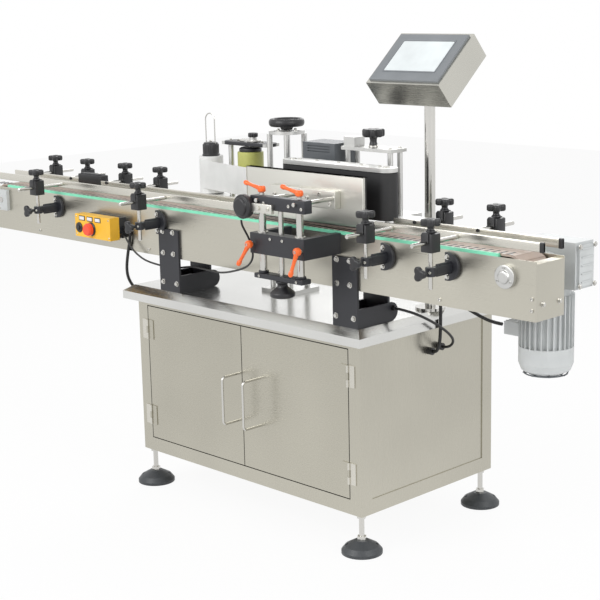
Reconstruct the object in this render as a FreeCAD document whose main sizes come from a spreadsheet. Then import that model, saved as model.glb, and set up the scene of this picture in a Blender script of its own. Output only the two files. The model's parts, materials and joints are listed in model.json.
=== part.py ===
import FreeCAD, Part
import math
import os
import re
import Sketcher
from FreeCAD import Placement, Rotation, Vector

# Wrap-round bottle labelling machine: a slat-chain conveyor on a stainless cabinet, a press unit on
# the operator's side, a labelling head behind the chain and a touch panel on a pole.
# Machine frame: millimetres, X along the conveyor towards its drive end, Y from the operator to the
# back, Z up from the floor, with X = Y = 0 at the middle of the cabinet.

SIZES = {
    # footprint middle of the whole machine, measured from the middle of the cabinet
    "origin_x": -110.0, "origin_y": -73.0,
    # cabinet: square tube frame, inset panels, two doors
    "cabinet_width": 1000.0, "cabinet_depth": 600.0, "cabinet_height": 543.0, "floor_clearance": 118.0,
    "tube": 45.0, "panel_inset": 3.0, "sheet": 2.0,
    "door_gap": 3.0, "door_depth": 20.0, "door_swing_gap": 4.0,
    "hinge_height": 65.0, "hinge_leaf": 22.0, "hinge_leaf_thickness": 2.5, "hinge_knuckle": 4.0,
    "hinge_pin": 2.0, "hinge_margin": 45.0, "hinge_play": 0.4,
    "handle_length": 150.0, "handle_reach": 68.0, "handle_wire": 4.0, "handle_rise": 145.0,
    "handle_left_x": -16.0, "handle_right_x": 76.0,
    # worktop: slab with a bevelled rim and a folded skirt
    "worktop_side": 34.0, "worktop_front": 37.0, "bevel_width": 29.0, "bevel_height": 19.0,
    "skirt_height": 26.0,
    # levelling feet
    "foot_inset": 24.0, "foot_radius": 61.0, "foot_rim": 9.0, "foot_dome": 30.0, "spindle": 8.0,
    "foot_nut": 14.0, "foot_nut_height": 12.0, "anchor_reach": 44.0, "anchor_hole": 4.5,
    # conveyor: levels are counted up from the worktop, the chain and what clears it from the axles
    "conveyor_left": -1335.0, "conveyor_right": 1106.0, "conveyor_width": 120.0, "conveyor_lift": 109.0,
    "plate": 3.0, "axle_rise": 107.0, "drive_inset": 91.0, "idler_inset": 71.0, "axle": 10.0,
    "axle_clearance": 3.0, "axle_end": 2.0, "drive_shaft_reach": 30.0, "running_play": 0.05,
    "chain_radius": 55.0, "chain_thickness": 6.5, "chain_width": 101.0, "chain_pitch": 24.0,
    "chain_joint": 1.6, "chain_play": 0.4, "strip_height": 8.0, "strip_lip": 8.5, "strip_ledge": 8.0,
    "strip_leg": 12.0, "strip_setback": 29.0, "tie": 7.0, "tie_rise": 16.0, "tie_inset": 290.0,
    "tie_pitch": 613.0, "sprocket_teeth": 12.0, "sprocket_width": 24.0, "sprocket_shift": 14.0,
    "sprocket_tooth": 9.0, "tooth_root": 7.0, "tooth_tip": 4.0, "end_lip": 30.0, "end_cover_drop": 6.0,
    "flange_radius": 30.0, "flange_thickness": 12.0, "idler_flange": 19.0, "block_width": 70.0,
    "block_height": 75.0,
    # conveyor supports
    "support_left_inset": 177.0, "support_right_inset": 48.0, "support_width": 96.0, "support_lap": 92.0,
    "support_plate": 8.0, "support_beam": 55.0, "support_tail": 15.0,
    # gearmotor at the drive end
    "gearbox_left_reach": 75.0, "gearbox_right_reach": 85.0, "gearbox_setback": 55.0,
    "gearbox_depth": 80.0, "gearbox_drop": 54.0, "gearbox_height": 124.0, "gearbox_boss": 40.0,
    "gearbox_rim": 50.0, "gearbox_rim_depth": 6.0, "motor_offset": 31.0, "motor_length": 156.0,
    "motor_core": 64.0, "motor_fin": 10.0, "motor_fin_root": 2.0, "motor_fin_thickness": 3.0,
    "motor_fins": 28.0, "motor_neck": 12.0, "motor_flange": 70.0, "motor_flange_thickness": 14.0,
    "fan_radius": 74.0, "fan_height": 75.0, "terminal_width": 60.0, "terminal_depth": 56.0,
    "terminal_height": 36.0, "terminal_rise": 17.0, "terminal_seat": 4.0, "cover_thickness": 8.0,
    "cover_margin": 8.0, "cover_rib": 3.0,
    # guide rails and their clamps
    "rail_height": 24.0, "rail_thickness": 8.0, "rail_lift": 14.0, "rail_overhang": 16.0,
    "rail_start": 5.0, "rail_tip": 9.0, "front_left_end": 15.0, "front_right_start": 545.0,
    "back_left_gap": -936.0, "back_left_next": -805.0, "back_left_end": -110.0,
    "back_right_start": 545.0, "rail_rod": 6.0, "rod_reach": 168.0, "post_reach": 91.0,
    "post_drop": 112.0, "post_length": 115.0, "clamp_block": 36.0, "clamp_block_height": 52.0,
    "clamp_block_drop": 13.0, "knob_neck": 11.0, "knob_neck_height": 16.0, "knob_radius": 25.0,
    "knob_height": 19.0, "knob_notch": 9.0, "bracket_radius": 38.0, "bracket_thickness": 12.0,
    "bracket_rise": 111.0, "bracket_offset": 12.0, "arm_width": 14.0, "arm_height": 24.0,
    "ring_radius": 14.0, "wing_stem": 5.0, "wing_reach": 26.0, "wing_radius": 14.0, "wing_width": 42.0,
    "wing_thickness": 12.0, "wing_seat": 2.0, "separator_height": 30.0, "separator_depth": 34.0,
    "separator_rise": 10.0, "joint_bar_lap": 20.0, "joint_bar_height": 17.0, "joint_bar_rise": 3.0,
    "front_clamp_first": -916.0, "front_clamp_second": -360.0, "front_clamp_third": 613.0, "front_clamp_fourth": 840.0,
    "back_clamp_first": -1231.0, "back_clamp_second": -1034.0, "back_clamp_third": -814.0, "back_clamp_fourth": -621.0,
    "back_clamp_fifth": 635.0, "back_clamp_sixth": 816.0,
    # control box on the conveyor
    "box_left": -735.0, "box_width": 190.0, "box_height": 75.0, "box_rise": 38.0,
    "box_depth": 38.0, "spacer_depth": 31.0, "spacer_margin": 4.0, "stop_shift": 89.0,
    "button_rise": 30.5, "stop_radius": 21.0, "stop_cap": 16.0, "stop_neck": 12.0,
    "stop_travel_gap": 8.0, "start_shift": 23.0, "start_radius": 9.0, "start_collar": 13.0,
    "start_collar_height": 4.0, "start_height": 10.0, "start_well": 12.0, "button_play": 0.3,
    "legend_width": 27.0, "legend_height": 12.0, "legend_shift": 39.0, "legend_pitch": 43.0,
    "legend_rise": 63.0, "legend_thickness": 1.0,
    # press unit in front of the conveyor
    "press_left": 216.0, "press_width": 217.0, "press_stand": 147.0, "press_block_depth": 39.0,
    "press_block_rise": 99.0, "press_block_height": 59.0, "press_arm": 20.0,
    "press_post_pitch": 151.0, "press_post": 10.5, "press_post_drop": 57.0, "press_post_play": 0.05,
    "press_screw": 8.0, "press_screw_seat": 10.0, "press_top_rise": 128.0, "press_top_height": 39.0,
    "press_top_depth": 30.0, "press_foot_thickness": 14.0, "press_foot_width": 195.0,
    "press_rod": 6.0, "press_rod_rise": 25.0, "press_rod_tip": 12.0, "press_post_lap": 12.0,
    "pressure_left": 20.0, "pressure_width": 480.0, "pressure_lift": 11.0, "pressure_height": 143.0,
    "pressure_setback": 24.0, "pressure_plate": 6.0, "pressure_pad": 8.0, "carrier_shift": 127.0,
    "carrier_width": 264.0, "carrier_drop": 5.0, "carrier_height": 51.0, "carrier_depth": 24.0,
    "press_knob_radius": 36.0, "press_knob_height": 48.0,
    "lever_hub": 11.0, "lever_hub_height": 24.0, "lever_length": 74.0, "lever_root": 8.0,
    "lever_tip": 5.5, "lever_rise": 12.0, "seat_gap": 0.3, "front_lever_inset": 11.0,
    "sensor_radius": 35.0, "sensor_depth": 24.0, "sensor_cap_depth": 8.0, "sensor_offset": 15.0,
    "sensor_rise": 4.0, "sensor_clamp_length": 78.0, "sensor_clamp_height": 26.0,
    "sensor_clamp_depth": 12.0, "sensor_outlet": 6.0, "sensor_outlet_shift": 11.0,
    "sensor_outlet_reach": 5.0,
    # labelling head behind the conveyor: its levels are counted from its base plate
    "head_lift": 1.0, "head_plate": 12.0, "head_margin": 52.0, "head_lap": 25.0, "head_back_reach": 220.0,
    "head_step_x": -95.0, "head_step_reach": 20.0, "head_notch_gap_x": 40.0, "head_notch_gap_y": 50.0,
    "head_setback": 130.0, "wrap_left_x": 124.0, "wrap_right_x": 498.0, "wrap_setback": 2.0,
    "wrap_outer": 32.0, "wrap_belt": 8.0, "wrap_lift": 12.0, "wrap_height": 134.0,
    "wrap_cover_gap": 2.0, "wrap_play": 0.3, "wrap_shaft": 6.0, "wrap_strut": 9.0,
    "wrap_strut_inset": 97.0, "column_x": -35.0, "column_pitch": 76.0, "column_post": 9.0,
    "column_base": 130.0, "column_plate": 56.0, "column_rise": 216.0,
    "column_plate_thickness": 10.0, "lift_screw": 8.0, "lift_screw_tail": 20.0, "wheel_radius": 53.0,
    "wheel_rim": 14.0, "wheel_rise": 32.0, "wheel_hub": 20.0, "wheel_hub_drop": 6.0,
    "spoke_width": 10.0, "spoke_height": 7.0, "drum_x": -205.0, "drum": 42.0, "drum_gap": 6.0,
    "drum_shaft": 6.0, "yoke_reach": 103.0, "yoke_rise": 170.0, "yoke_thickness": 10.0,
    "yoke_depth": 60.0, "yoke_post": 9.0, "yoke_edge": 2.0, "yoke_cap": 22.0, "yoke_cap_height": 8.0,
    "yoke_knob": 12.0, "yoke_knob_height": 20.0, "yoke_knob_shift": 14.0,
    "rewind_x": -398.0, "rewind": 27.0, "rewind_roll": 40.0, "rewind_rise": 126.0,
    "rewind_cap_height": 42.0, "rewind_core_lap": 10.0, "rewind_core_room": 2.0, "rewind_pin": 2.0,
    "rewind_pin_height": 95.0, "rewind_pin_half": 22.0, "rewind_stud": 5.0, "rewind_stud_height": 8.0,
    "web": 1.2, "web_lift": 21.0, "web_height": 92.0, "web_end_x": 78.0, "web_end_lead": 8.0,
    "peel_thickness": 6.0, "peel_depth": 30.0, "drive_block_left": 80.0, "drive_block_width": 135.0,
    "drive_block_setback": 85.0, "drive_block_depth": 90.0, "drive_block_height": 202.0,
    "slot_depth": 4.0, "slot_height": 3.0, "slot_pitch": 8.0, "slot_margin": 20.0,
    "arm_left": 232.0, "arm_length": 198.0, "arm_depth": 70.0, "arm_rise": 186.0,
    "arm_thickness": 10.0, "arm_post": 8.0, "arm_post_inset": 14.0, "arm_block": 44.0,
    "arm_block_height": 28.0, "arm_block_inset_x": 4.0, "arm_block_inset_y": 8.0,
    "star_radius": 34.0, "star_height": 24.0, "star_lift": 30.0, "star_neck": 11.0,
    # touch panel on its pole
    "pole_inset": 20.0, "pole_setback": 210.0, "pole": 16.0, "pole_flange": 45.0,
    "pole_flange_thickness": 8.0, "panel_shift_x": 13.0, "panel_shift_y": 30.0, "panel_rise": 737.0,
    "panel_width": 256.0, "panel_height": 187.0, "case_width": 274.0, "case_height": 207.0,
    "case_depth": 85.0, "panel_lip": 6.0, "screen_recess": 1.5, "screen_width": 190.0,
    "screen_height": 120.0, "screen_shift": 4.0, "panel_tilt": 41.0, "case_wall": 2.0,
    # cable glands and leads
    "gland": 11.0, "gland_length": 18.0, "small_gland": 8.0, "small_gland_length": 10.0,
    "motor_gland_length": 12.0, "right_gland_drop": 101.0, "rear_gland_drop": 95.0, "gland_pitch": 46.0,
    "left_gland_shift": 200.0, "left_gland_drop": 61.0, "outer_outlet_rise": 35.5, "inner_outlet_rise": 13.0,
    "inner_outlet_reach": 22.0, "detector_gland_rise": 37.0, "detector_gland_reach": 22.0,
    "thin_lead": 3.0, "middle_lead": 4.0, "thick_lead": 5.0,
}

# Places that follow from the sizes, so that each piece stays on what carries it.
PLACES = {
    # levels of the cabinet and the conveyor
    "cabinet_top": "floor_clearance + cabinet_height",
    "worktop_top": "cabinet_top + bevel_height",
    "door_low": "floor_clearance + tube + door_gap",
    "door_top": "cabinet_top - tube - door_gap",
    "hinge_low": "door_low + hinge_margin",
    "hinge_high": "door_top - hinge_margin - hinge_height",
    "handle_low": "door_low + handle_rise",
    "conveyor_bottom": "worktop_top + conveyor_lift",
    "axle_height": "conveyor_bottom + axle_rise",
    "chain_top": "axle_height + chain_radius",
    "plate_top": "chain_top - strip_height",
    "plate_height": "plate_top - conveyor_bottom",
    "tie_height": "conveyor_bottom + tie_rise",
    "support_top": "conveyor_bottom + support_lap",
    "gearbox_bottom": "axle_height - gearbox_drop",
    "motor_bottom": "gearbox_bottom - motor_flange_thickness - motor_length",
    "terminal_bottom": "motor_bottom + terminal_rise",
    # levels of what stands on the conveyor or clears the chain
    "rail_bottom": "chain_top + rail_lift",
    "clamp_block_bottom": "rail_bottom - clamp_block_drop",
    "post_bottom": "rail_bottom - post_drop",
    "bracket_height": "conveyor_bottom + bracket_rise",
    "box_bottom": "conveyor_bottom + box_rise",
    "button_height": "box_bottom + button_rise",
    "press_block_bottom": "conveyor_bottom + press_block_rise",
    "press_post_bottom": "press_block_bottom - press_post_drop",
    "press_top_bottom": "press_block_bottom + press_top_rise",
    "press_rod_height": "press_top_bottom + press_rod_rise",
    "carrier_bottom": "press_top_bottom - carrier_drop",
    "sensor_height": "press_top_bottom + sensor_rise",
    "pressure_bottom": "chain_top + pressure_lift",
    # levels of the labelling head and the touch panel
    "head_base": "chain_top + head_lift",
    "base_top": "head_base + head_plate",
    "wrap_bottom": "base_top + wrap_lift",
    "wrap_plate_bottom": "wrap_bottom + wrap_height + wrap_cover_gap",
    "yoke_bottom": "base_top + yoke_rise",
    "drum_top": "yoke_bottom - drum_gap",
    "column_plate_bottom": "base_top + column_rise",
    "wheel_height": "column_plate_bottom + column_plate_thickness + wheel_rise",
    "arm_bottom": "base_top + arm_rise",
    "drive_block_top": "base_top + drive_block_height",
    "rewind_cap_bottom": "base_top + rewind_rise",
    "web_bottom": "base_top + web_lift",
    "panel_z": "worktop_top + panel_rise",
    # places along the conveyor
    "idler_x": "conveyor_left + idler_inset",
    "drive_x": "conveyor_right - drive_inset",
    "tie_first": "conveyor_left + tie_inset",
    "support_left_x": "-cabinet_width / 2 + support_left_inset",
    "support_right_x": "cabinet_width / 2 - support_right_inset",
    "gearbox_left": "drive_x - gearbox_left_reach",
    "gearbox_right": "drive_x + gearbox_right_reach",
    "motor_x": "drive_x - motor_offset",
    "rail_left": "conveyor_left + rail_start",
    "rail_right": "conveyor_right + rail_tip",
    "stop_x": "box_left + stop_shift",
    "start_x": "box_left + start_shift",
    "legend_first_x": "box_left + legend_shift",
    "press_middle": "press_left + press_width / 2",
    "press_post_left": "press_middle - press_post_pitch / 2",
    "press_post_right": "press_middle + press_post_pitch / 2",
    "carrier_left": "pressure_left + carrier_shift",
    "sensor_x": "press_left - sensor_offset",
    "head_left": "rewind_x - head_margin",
    "head_right": "wrap_right_x + wrap_outer",
    "wrap_strut_left": "wrap_left_x + wrap_strut_inset",
    "wrap_strut_right": "wrap_right_x - wrap_strut_inset",
    "yoke_left": "drum_x - yoke_reach",
    "yoke_right": "drum_x + yoke_reach",
    "arm_right": "arm_left + arm_length",
    "star_x": "arm_left + arm_length / 2",
    "pole_x": "cabinet_width / 2 - pole_inset",
    "panel_x": "pole_x - panel_shift_x",
    "head_notch_x": "pole_x - head_notch_gap_x",
    # places from the operator to the back; the conveyor's front is flush with the cabinet's
    "conveyor_front": "-cabinet_depth / 2",
    "conveyor_back": "conveyor_front + conveyor_width",
    "press_front": "conveyor_front - press_stand",
    "pressure_front": "conveyor_front + pressure_setback",
    "gearbox_front": "conveyor_back + gearbox_setback",
    "wrap_y": "conveyor_back + wrap_setback",
    "head_front": "conveyor_back - head_lap",
    "head_step_y": "conveyor_back + head_step_reach",
    "head_back": "conveyor_back + head_back_reach",
    "head_middle": "conveyor_back + head_setback",
    "arm_front": "head_middle - arm_depth / 2",
    "drive_block_front": "conveyor_back + drive_block_setback",
    "web_end_y": "wrap_y - web_end_lead",
    "pole_y": "conveyor_back + pole_setback",
    "panel_y": "pole_y - panel_shift_y",
    "head_notch_y": "pole_y - head_notch_gap_y",
}

ALONG_X = (Vector(0, 1, 0), 90)
ALONG_Y = (Vector(1, 0, 0), -90)
FACING_FRONT = (Vector(1, 0, 0), 90)
HALF_TURN = (Vector(0, 0, 1), 180)

doc = FreeCAD.newDocument("bottle_labelling_machine")
sheet = doc.addObject("Spreadsheet::Sheet", "Sizes")
for row, (alias, value) in enumerate(SIZES.items(), 1):
    sheet.set(f"A{row}", alias)
    sheet.set(f"B{row}", str(value))
    sheet.setAlias(f"B{row}", alias)
doc.recompute()
NODES = []


# ---- building helpers ---------------------------------------------------------------------------

def formula(text):
    """An expression that reads its sizes from the sheet, with each place written out in sizes."""
    def cell(word):
        name = word.group()
        if name in PLACES:
            return f"({formula(PLACES[name])})"
        return "Sizes." + name if name in SIZES else name
    return re.sub(r"[a-z]\w*", cell, str(text))


def put(thing, x=0, y=0, z=0, turn=None):
    """Place a thing at x, y, z, each a number or an expression, after an optional (axis, angle) turn."""
    if turn:
        thing.Placement = Placement(Vector(), Rotation(*turn))
    for axis, text in zip("xyz", (x, y, z)):
        thing.setExpression(".Placement.Base." + axis, formula(text))
    return thing


def bind(thing, **cells):
    for name, text in cells.items():
        thing.setExpression(name, formula(text))
    return thing


def box(width, depth, height, x, y, z, turn=None):
    """A block with its low corner at x, y, z."""
    thing = bind(doc.addObject("Part::Box", "Block"), Length=width, Width=depth, Height=height)
    return put(thing, x, y, z, turn)


def rod(radius, length, x, y, z, turn=None):
    """A round bar that starts at x, y, z and runs up, or along the turned axis."""
    thing = bind(doc.addObject("Part::Cylinder", "Rod"), Radius=radius, Height=length)
    return put(thing, x, y, z, turn)


def cone(low_radius, high_radius, length, x, y, z, turn=None):
    thing = bind(doc.addObject("Part::Cone", "Cone"), Radius1=low_radius, Radius2=high_radius, Height=length)
    return put(thing, x, y, z, turn)


def ball(radius, x, y, z):
    return put(bind(doc.addObject("Part::Sphere", "Ball"), Radius=radius), x, y, z)


def nut(radius, length, x, y, z, turn=None):
    thing = bind(doc.addObject("Part::Prism", "Nut"), Circumradius=radius, Height=length)
    thing.Polygon = 6
    return put(thing, x, y, z, turn)


def fuse(*things):
    whole = doc.addObject("Part::MultiFuse", "Fused")
    whole.Shapes = list(things)
    return whole


def cut(base, *tools):
    """The base less every tool."""
    whole = doc.addObject("Part::Cut", "Cut")
    whole.Base = base
    whole.Tool = tools[0] if len(tools) == 1 else fuse(*tools)
    return whole


def group(*things):
    """Separate solids kept together."""
    whole = doc.addObject("Part::Compound", "Group")
    whole.Links = list(things)
    return whole


def copy(form, x=0, y=0, z=0, turn=None):
    """Another one of a form that is modelled once."""
    link = doc.addObject("App::Link", "Copy")
    link.LinkedObject = form
    return put(link, x, y, z, turn)


def body(label):
    return doc.addObject("PartDesign::Body", label)


def outline(owner, plane, corners, holes=()):
    """A closed sketch whose corners, and round holes given as x, y, radius, are bound to the sheet."""
    sketch = owner.newObject("Sketcher::SketchObject", "Outline")
    origin = [face for face in owner.Origin.OriginFeatures if face.Role == plane][0]
    sketch.AttachmentSupport = (origin, "")
    sketch.MapMode = "FlatFace"
    count = len(corners)
    start = [Vector(math.cos(2 * math.pi * i / count), math.sin(2 * math.pi * i / count), 0) for i in range(count)]
    for i in range(count):
        sketch.addGeometry(Part.LineSegment(start[i], start[(i + 1) % count]))
    for i in range(count):
        sketch.addConstraint(Sketcher.Constraint("Coincident", i, 2, (i + 1) % count, 1))
    for i, (across, along) in enumerate(corners):
        fix(sketch, "DistanceX", i, 1, start[i].x, across)
        fix(sketch, "DistanceY", i, 1, start[i].y, along)
    for across, along, radius in holes:
        ring = sketch.addGeometry(Part.Circle(Vector(0, 0, 0), Vector(0, 0, 1), 1.0))
        fix(sketch, "DistanceX", ring, 3, 0.0, across)
        fix(sketch, "DistanceY", ring, 3, 0.0, along)
        index = sketch.addConstraint(Sketcher.Constraint("Radius", ring, 1.0))
        sketch.setExpression(f"Constraints[{index}]", formula(radius))
    return sketch


def fix(sketch, kind, piece, point, value, text):
    index = sketch.addConstraint(Sketcher.Constraint(kind, -1, 1, piece, point, value))
    sketch.setExpression(f"Constraints[{index}]", formula(text))


def disc_sketch(owner, plane, radius, x=0, y=0):
    sketch = owner.newObject("Sketcher::SketchObject", "Disc")
    origin = [face for face in owner.Origin.OriginFeatures if face.Role == plane][0]
    sketch.AttachmentSupport = (origin, "")
    sketch.MapMode = "FlatFace"
    ring = sketch.addGeometry(Part.Circle(Vector(0, 0, 0), Vector(0, 0, 1), 1.0))
    fix(sketch, "DistanceX", ring, 3, 0.0, x)
    fix(sketch, "DistanceY", ring, 3, 0.0, y)
    index = sketch.addConstraint(Sketcher.Constraint("Radius", ring, 1.0))
    sketch.setExpression(f"Constraints[{index}]", formula(radius))
    return sketch


def pad(owner, sketch, length, reverse=False):
    feature = bind(owner.newObject("PartDesign::Pad", "Pad"), Length=length)
    feature.Profile = sketch
    feature.Reversed = reverse
    return feature


def prism(label, plane, corners, length, reverse=False, holes=()):
    """A body made of one padded outline."""
    owner = body(label)
    pad(owner, outline(owner, plane, corners, holes), length, reverse)
    return owner


def turned(label, corners, owner=None):
    """A body turned about Z from corners given as radius, height."""
    owner = owner or body(label)
    sketch = outline(owner, "XZ_Plane", corners)
    feature = owner.newObject("PartDesign::Revolution", "Turned")
    feature.Profile = sketch
    feature.ReferenceAxis = (sketch, ["V_Axis"])
    feature.Angle = 360
    return owner


def around(owner, feature, count):
    """Repeat a feature of a body round its Z axis."""
    pattern = owner.newObject("PartDesign::PolarPattern", "Round")
    pattern.Originals = [feature]
    pattern.Axis = (axis_of(owner, "Z_Axis"), [""])
    pattern.Angle = 360
    bind(pattern, Occurrences=count)
    owner.Tip = pattern
    return pattern


def axis_of(owner, role):
    return [line for line in owner.Origin.OriginFeatures if line.Role == role][0]


def node(name, *things):
    """A named sub-part, moved so that the origin lies under the middle of the whole machine."""
    whole = group(*things)
    whole.Label = name
    put(whole, "-origin_x", "-origin_y", 0)
    NODES.append(whole)
    return whole


# ---- cabinet ------------------------------------------------------------------------------------

HALF_WIDTH = "cabinet_width / 2"
HALF_DEPTH = "cabinet_depth / 2"
INNER_WIDTH = "(cabinet_width - 2 * tube)"
INNER_DEPTH = "(cabinet_depth - 2 * tube)"
INNER_HEIGHT = "(cabinet_height - 2 * tube)"
FRONT = "(-cabinet_depth / 2)"


def cabinet_frame():
    """Square tubes along all twelve edges: a block less a window through each pair of sides."""
    whole = box("cabinet_width", "cabinet_depth", "cabinet_height",
                f"-{HALF_WIDTH}", f"-{HALF_DEPTH}", "floor_clearance")
    low = "floor_clearance + tube"
    across = box("cabinet_width", INNER_DEPTH, INNER_HEIGHT, f"-{HALF_WIDTH}", f"-{INNER_DEPTH} / 2", low)
    through = box(INNER_WIDTH, "cabinet_depth", INNER_HEIGHT, f"-{INNER_WIDTH} / 2", f"-{HALF_DEPTH}", low)
    upward = box(INNER_WIDTH, INNER_DEPTH, "cabinet_height",
                 f"-{INNER_WIDTH} / 2", f"-{INNER_DEPTH} / 2", "floor_clearance")
    node("cabinet_frame", cut(whole, across, through, upward))


def cabinet_panels():
    """Two side panels, the back and the floor, each set just inside the frame's openings."""
    low = "floor_clearance + tube"
    panels = []
    for x in (f"-{HALF_WIDTH} + panel_inset", f"{HALF_WIDTH} - panel_inset - sheet"):
        panels.append(box("sheet", INNER_DEPTH, INNER_HEIGHT, x, f"-{INNER_DEPTH} / 2", low))
    panels.append(box(INNER_WIDTH, "sheet", INNER_HEIGHT,
                      f"-{INNER_WIDTH} / 2", f"{HALF_DEPTH} - panel_inset - sheet", low))
    panels.append(box(INNER_WIDTH, INNER_DEPTH, "sheet",
                      f"-{INNER_WIDTH} / 2", f"-{INNER_DEPTH} / 2", "floor_clearance + panel_inset"))
    node("cabinet_panels", *panels)


def frustum(width, depth, height, margin_x, margin_y, x, y, z):
    """A block whose top is smaller by a margin all round."""
    thing = bind(doc.addObject("Part::Wedge", "Bevel"), Xmin=f"-{width} / 2", Xmax=f"{width} / 2",
                 Zmin=f"-{depth} / 2", Zmax=f"{depth} / 2", Ymin=0, Ymax=height,
                 X2min=f"-{width} / 2 + {margin_x}", X2max=f"{width} / 2 - {margin_x}",
                 Z2min=f"-{depth} / 2 + {margin_y}", Z2max=f"{depth} / 2 - {margin_y}")
    return put(thing, x, y, z, FACING_FRONT)


def worktop():
    """A slab with a bevelled rim, and a thin skirt that hangs below the rim all round."""
    width = "(cabinet_width + 2 * worktop_side)"
    depth = "(cabinet_depth + 2 * worktop_front)"
    slab = frustum(width, depth, "bevel_height", "bevel_width", "bevel_width", 0, 0, "cabinet_top")
    low = "cabinet_top - skirt_height"
    outer = box(width, depth, "skirt_height", f"-{width} / 2", f"-{depth} / 2", low)
    inner = box(f"{width} - 2 * sheet", f"{depth} - 2 * sheet", "skirt_height",
                f"-{width} / 2 + sheet", f"-{depth} / 2 + sheet", low)
    node("worktop", fuse(slab, cut(outer, inner)))


def feet():
    """Four pads with anchor holes, each under a threaded spindle with two nuts."""
    dome_top = "(foot_rim + foot_dome)"
    form = turned("foot_form", [("0", "0"), ("foot_radius", "0"), ("foot_radius", "foot_rim"),
                                ("foot_radius * 0.82", "foot_rim + foot_dome * 0.45"),
                                ("spindle * 2.6", dome_top), ("0", dome_top)])
    lean = "anchor_reach * cos(45 deg)"
    holes = [rod("anchor_hole", dome_top, side + lean, side + lean, 0) for side in ("", "-")]
    drilled = cut(form, *holes)
    length = f"floor_clearance - {dome_top}"
    spindle = fuse(rod("spindle", length, 0, 0, dome_top), nut("foot_nut", "foot_nut_height", 0, 0, dome_top),
                   nut("foot_nut", "foot_nut_height", 0, 0, "floor_clearance - foot_nut_height"))
    pads = []
    spindles = []
    for side_x in (-1, 1):
        for side_y in (-1, 1):
            x = f"{side_x} * ({HALF_WIDTH} - foot_inset)"
            y = f"{side_y} * ({HALF_DEPTH} - foot_inset)"
            pads.append(copy(drilled, x, y))
            spindles.append(copy(spindle, x, y))
    node("foot_pads", *pads)
    node("foot_spindles", *spindles)


PIN_Y = f"({FRONT} - door_swing_gap)"
PIN_X = f"({INNER_WIDTH} / 2 - door_gap / 2)"
DOOR_HEIGHT = f"({INNER_HEIGHT} - 2 * door_gap)"
KNUCKLE = "(hinge_height / 3)"


def hinge_forms():
    """The fixed leaf with its pin and outer knuckles, and the door's leaf with the middle one.

    Both are drawn for the left door with the pin at X = Y = 0 and the hinge's foot at Z = 0.
    """
    leaf_y = "door_swing_gap - hinge_leaf_thickness"
    clear = "(hinge_knuckle + hinge_play)"
    fixed_leaf = box("hinge_leaf", "hinge_leaf_thickness", "hinge_height", f"-hinge_leaf - {clear}", leaf_y, 0)
    bridge = box(clear, "hinge_leaf_thickness", KNUCKLE, f"-{clear}", leaf_y, 0)
    top_bridge = box(clear, "hinge_leaf_thickness", KNUCKLE, f"-{clear}", leaf_y, f"2 * {KNUCKLE}")
    low = rod("hinge_knuckle", KNUCKLE, 0, 0, 0)
    high = rod("hinge_knuckle", KNUCKLE, 0, 0, f"2 * {KNUCKLE}")
    pin = rod("hinge_pin", "hinge_height", 0, 0, 0)
    fixed = fuse(fixed_leaf, bridge, top_bridge, low, high, pin)
    door_leaf = box("hinge_leaf", "hinge_leaf_thickness", "hinge_height", clear, leaf_y, 0)
    tongue = box(clear, "hinge_leaf_thickness", f"{KNUCKLE} - 2 * hinge_play", 0, leaf_y, f"{KNUCKLE} + hinge_play")
    middle = rod("hinge_knuckle", f"{KNUCKLE} - 2 * hinge_play", 0, 0, f"{KNUCKLE} + hinge_play")
    bore = rod("hinge_pin + running_play", "hinge_height", 0, 0, 0)
    swinging = cut(fuse(door_leaf, tongue, middle), bore)
    return fixed, swinging


def doors():
    """Two folded door pans with lift-out clearance all round, their hinges and their wire handles."""
    fixed, swinging = hinge_forms()
    width = f"({INNER_WIDTH} / 2 - 1.5 * door_gap)"
    fixed_leaves = []
    for side, name in ((-1, "left"), (1, "right")):
        low_x = f"-{INNER_WIDTH} / 2 + door_gap" if side < 0 else "door_gap / 2"
        outer = box(width, "door_depth", DOOR_HEIGHT, low_x, FRONT, "door_low")
        inner = box(f"{width} - 2 * sheet", "door_depth", f"{DOOR_HEIGHT} - 2 * sheet",
                    f"{low_x} + sheet", f"{FRONT} + sheet", "door_low + sheet")
        leaves = []
        for z in ("hinge_low", "hinge_high"):
            x = f"{side} * {PIN_X}"
            if side < 0:
                fixed_leaves.append(copy(fixed, x, PIN_Y, z))
                leaves.append(copy(swinging, x, PIN_Y, z))
            else:
                fixed_leaves.append(copy(mirror(fixed), x, PIN_Y, z))
                leaves.append(copy(mirror(swinging), x, PIN_Y, z))
        node(f"{name}_door", fuse(cut(outer, inner), *leaves))
        node(f"{name}_door_handle", door_handle(f"handle_{name}_x"))
    node("hinge_frame_leaves", *fixed_leaves)


def mirror(form, normal=Vector(1, 0, 0)):
    """The same form with one direction reversed."""
    thing = doc.addObject("Part::Mirroring", "Mirrored")
    thing.Source = form
    thing.Normal = normal
    return thing


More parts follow.
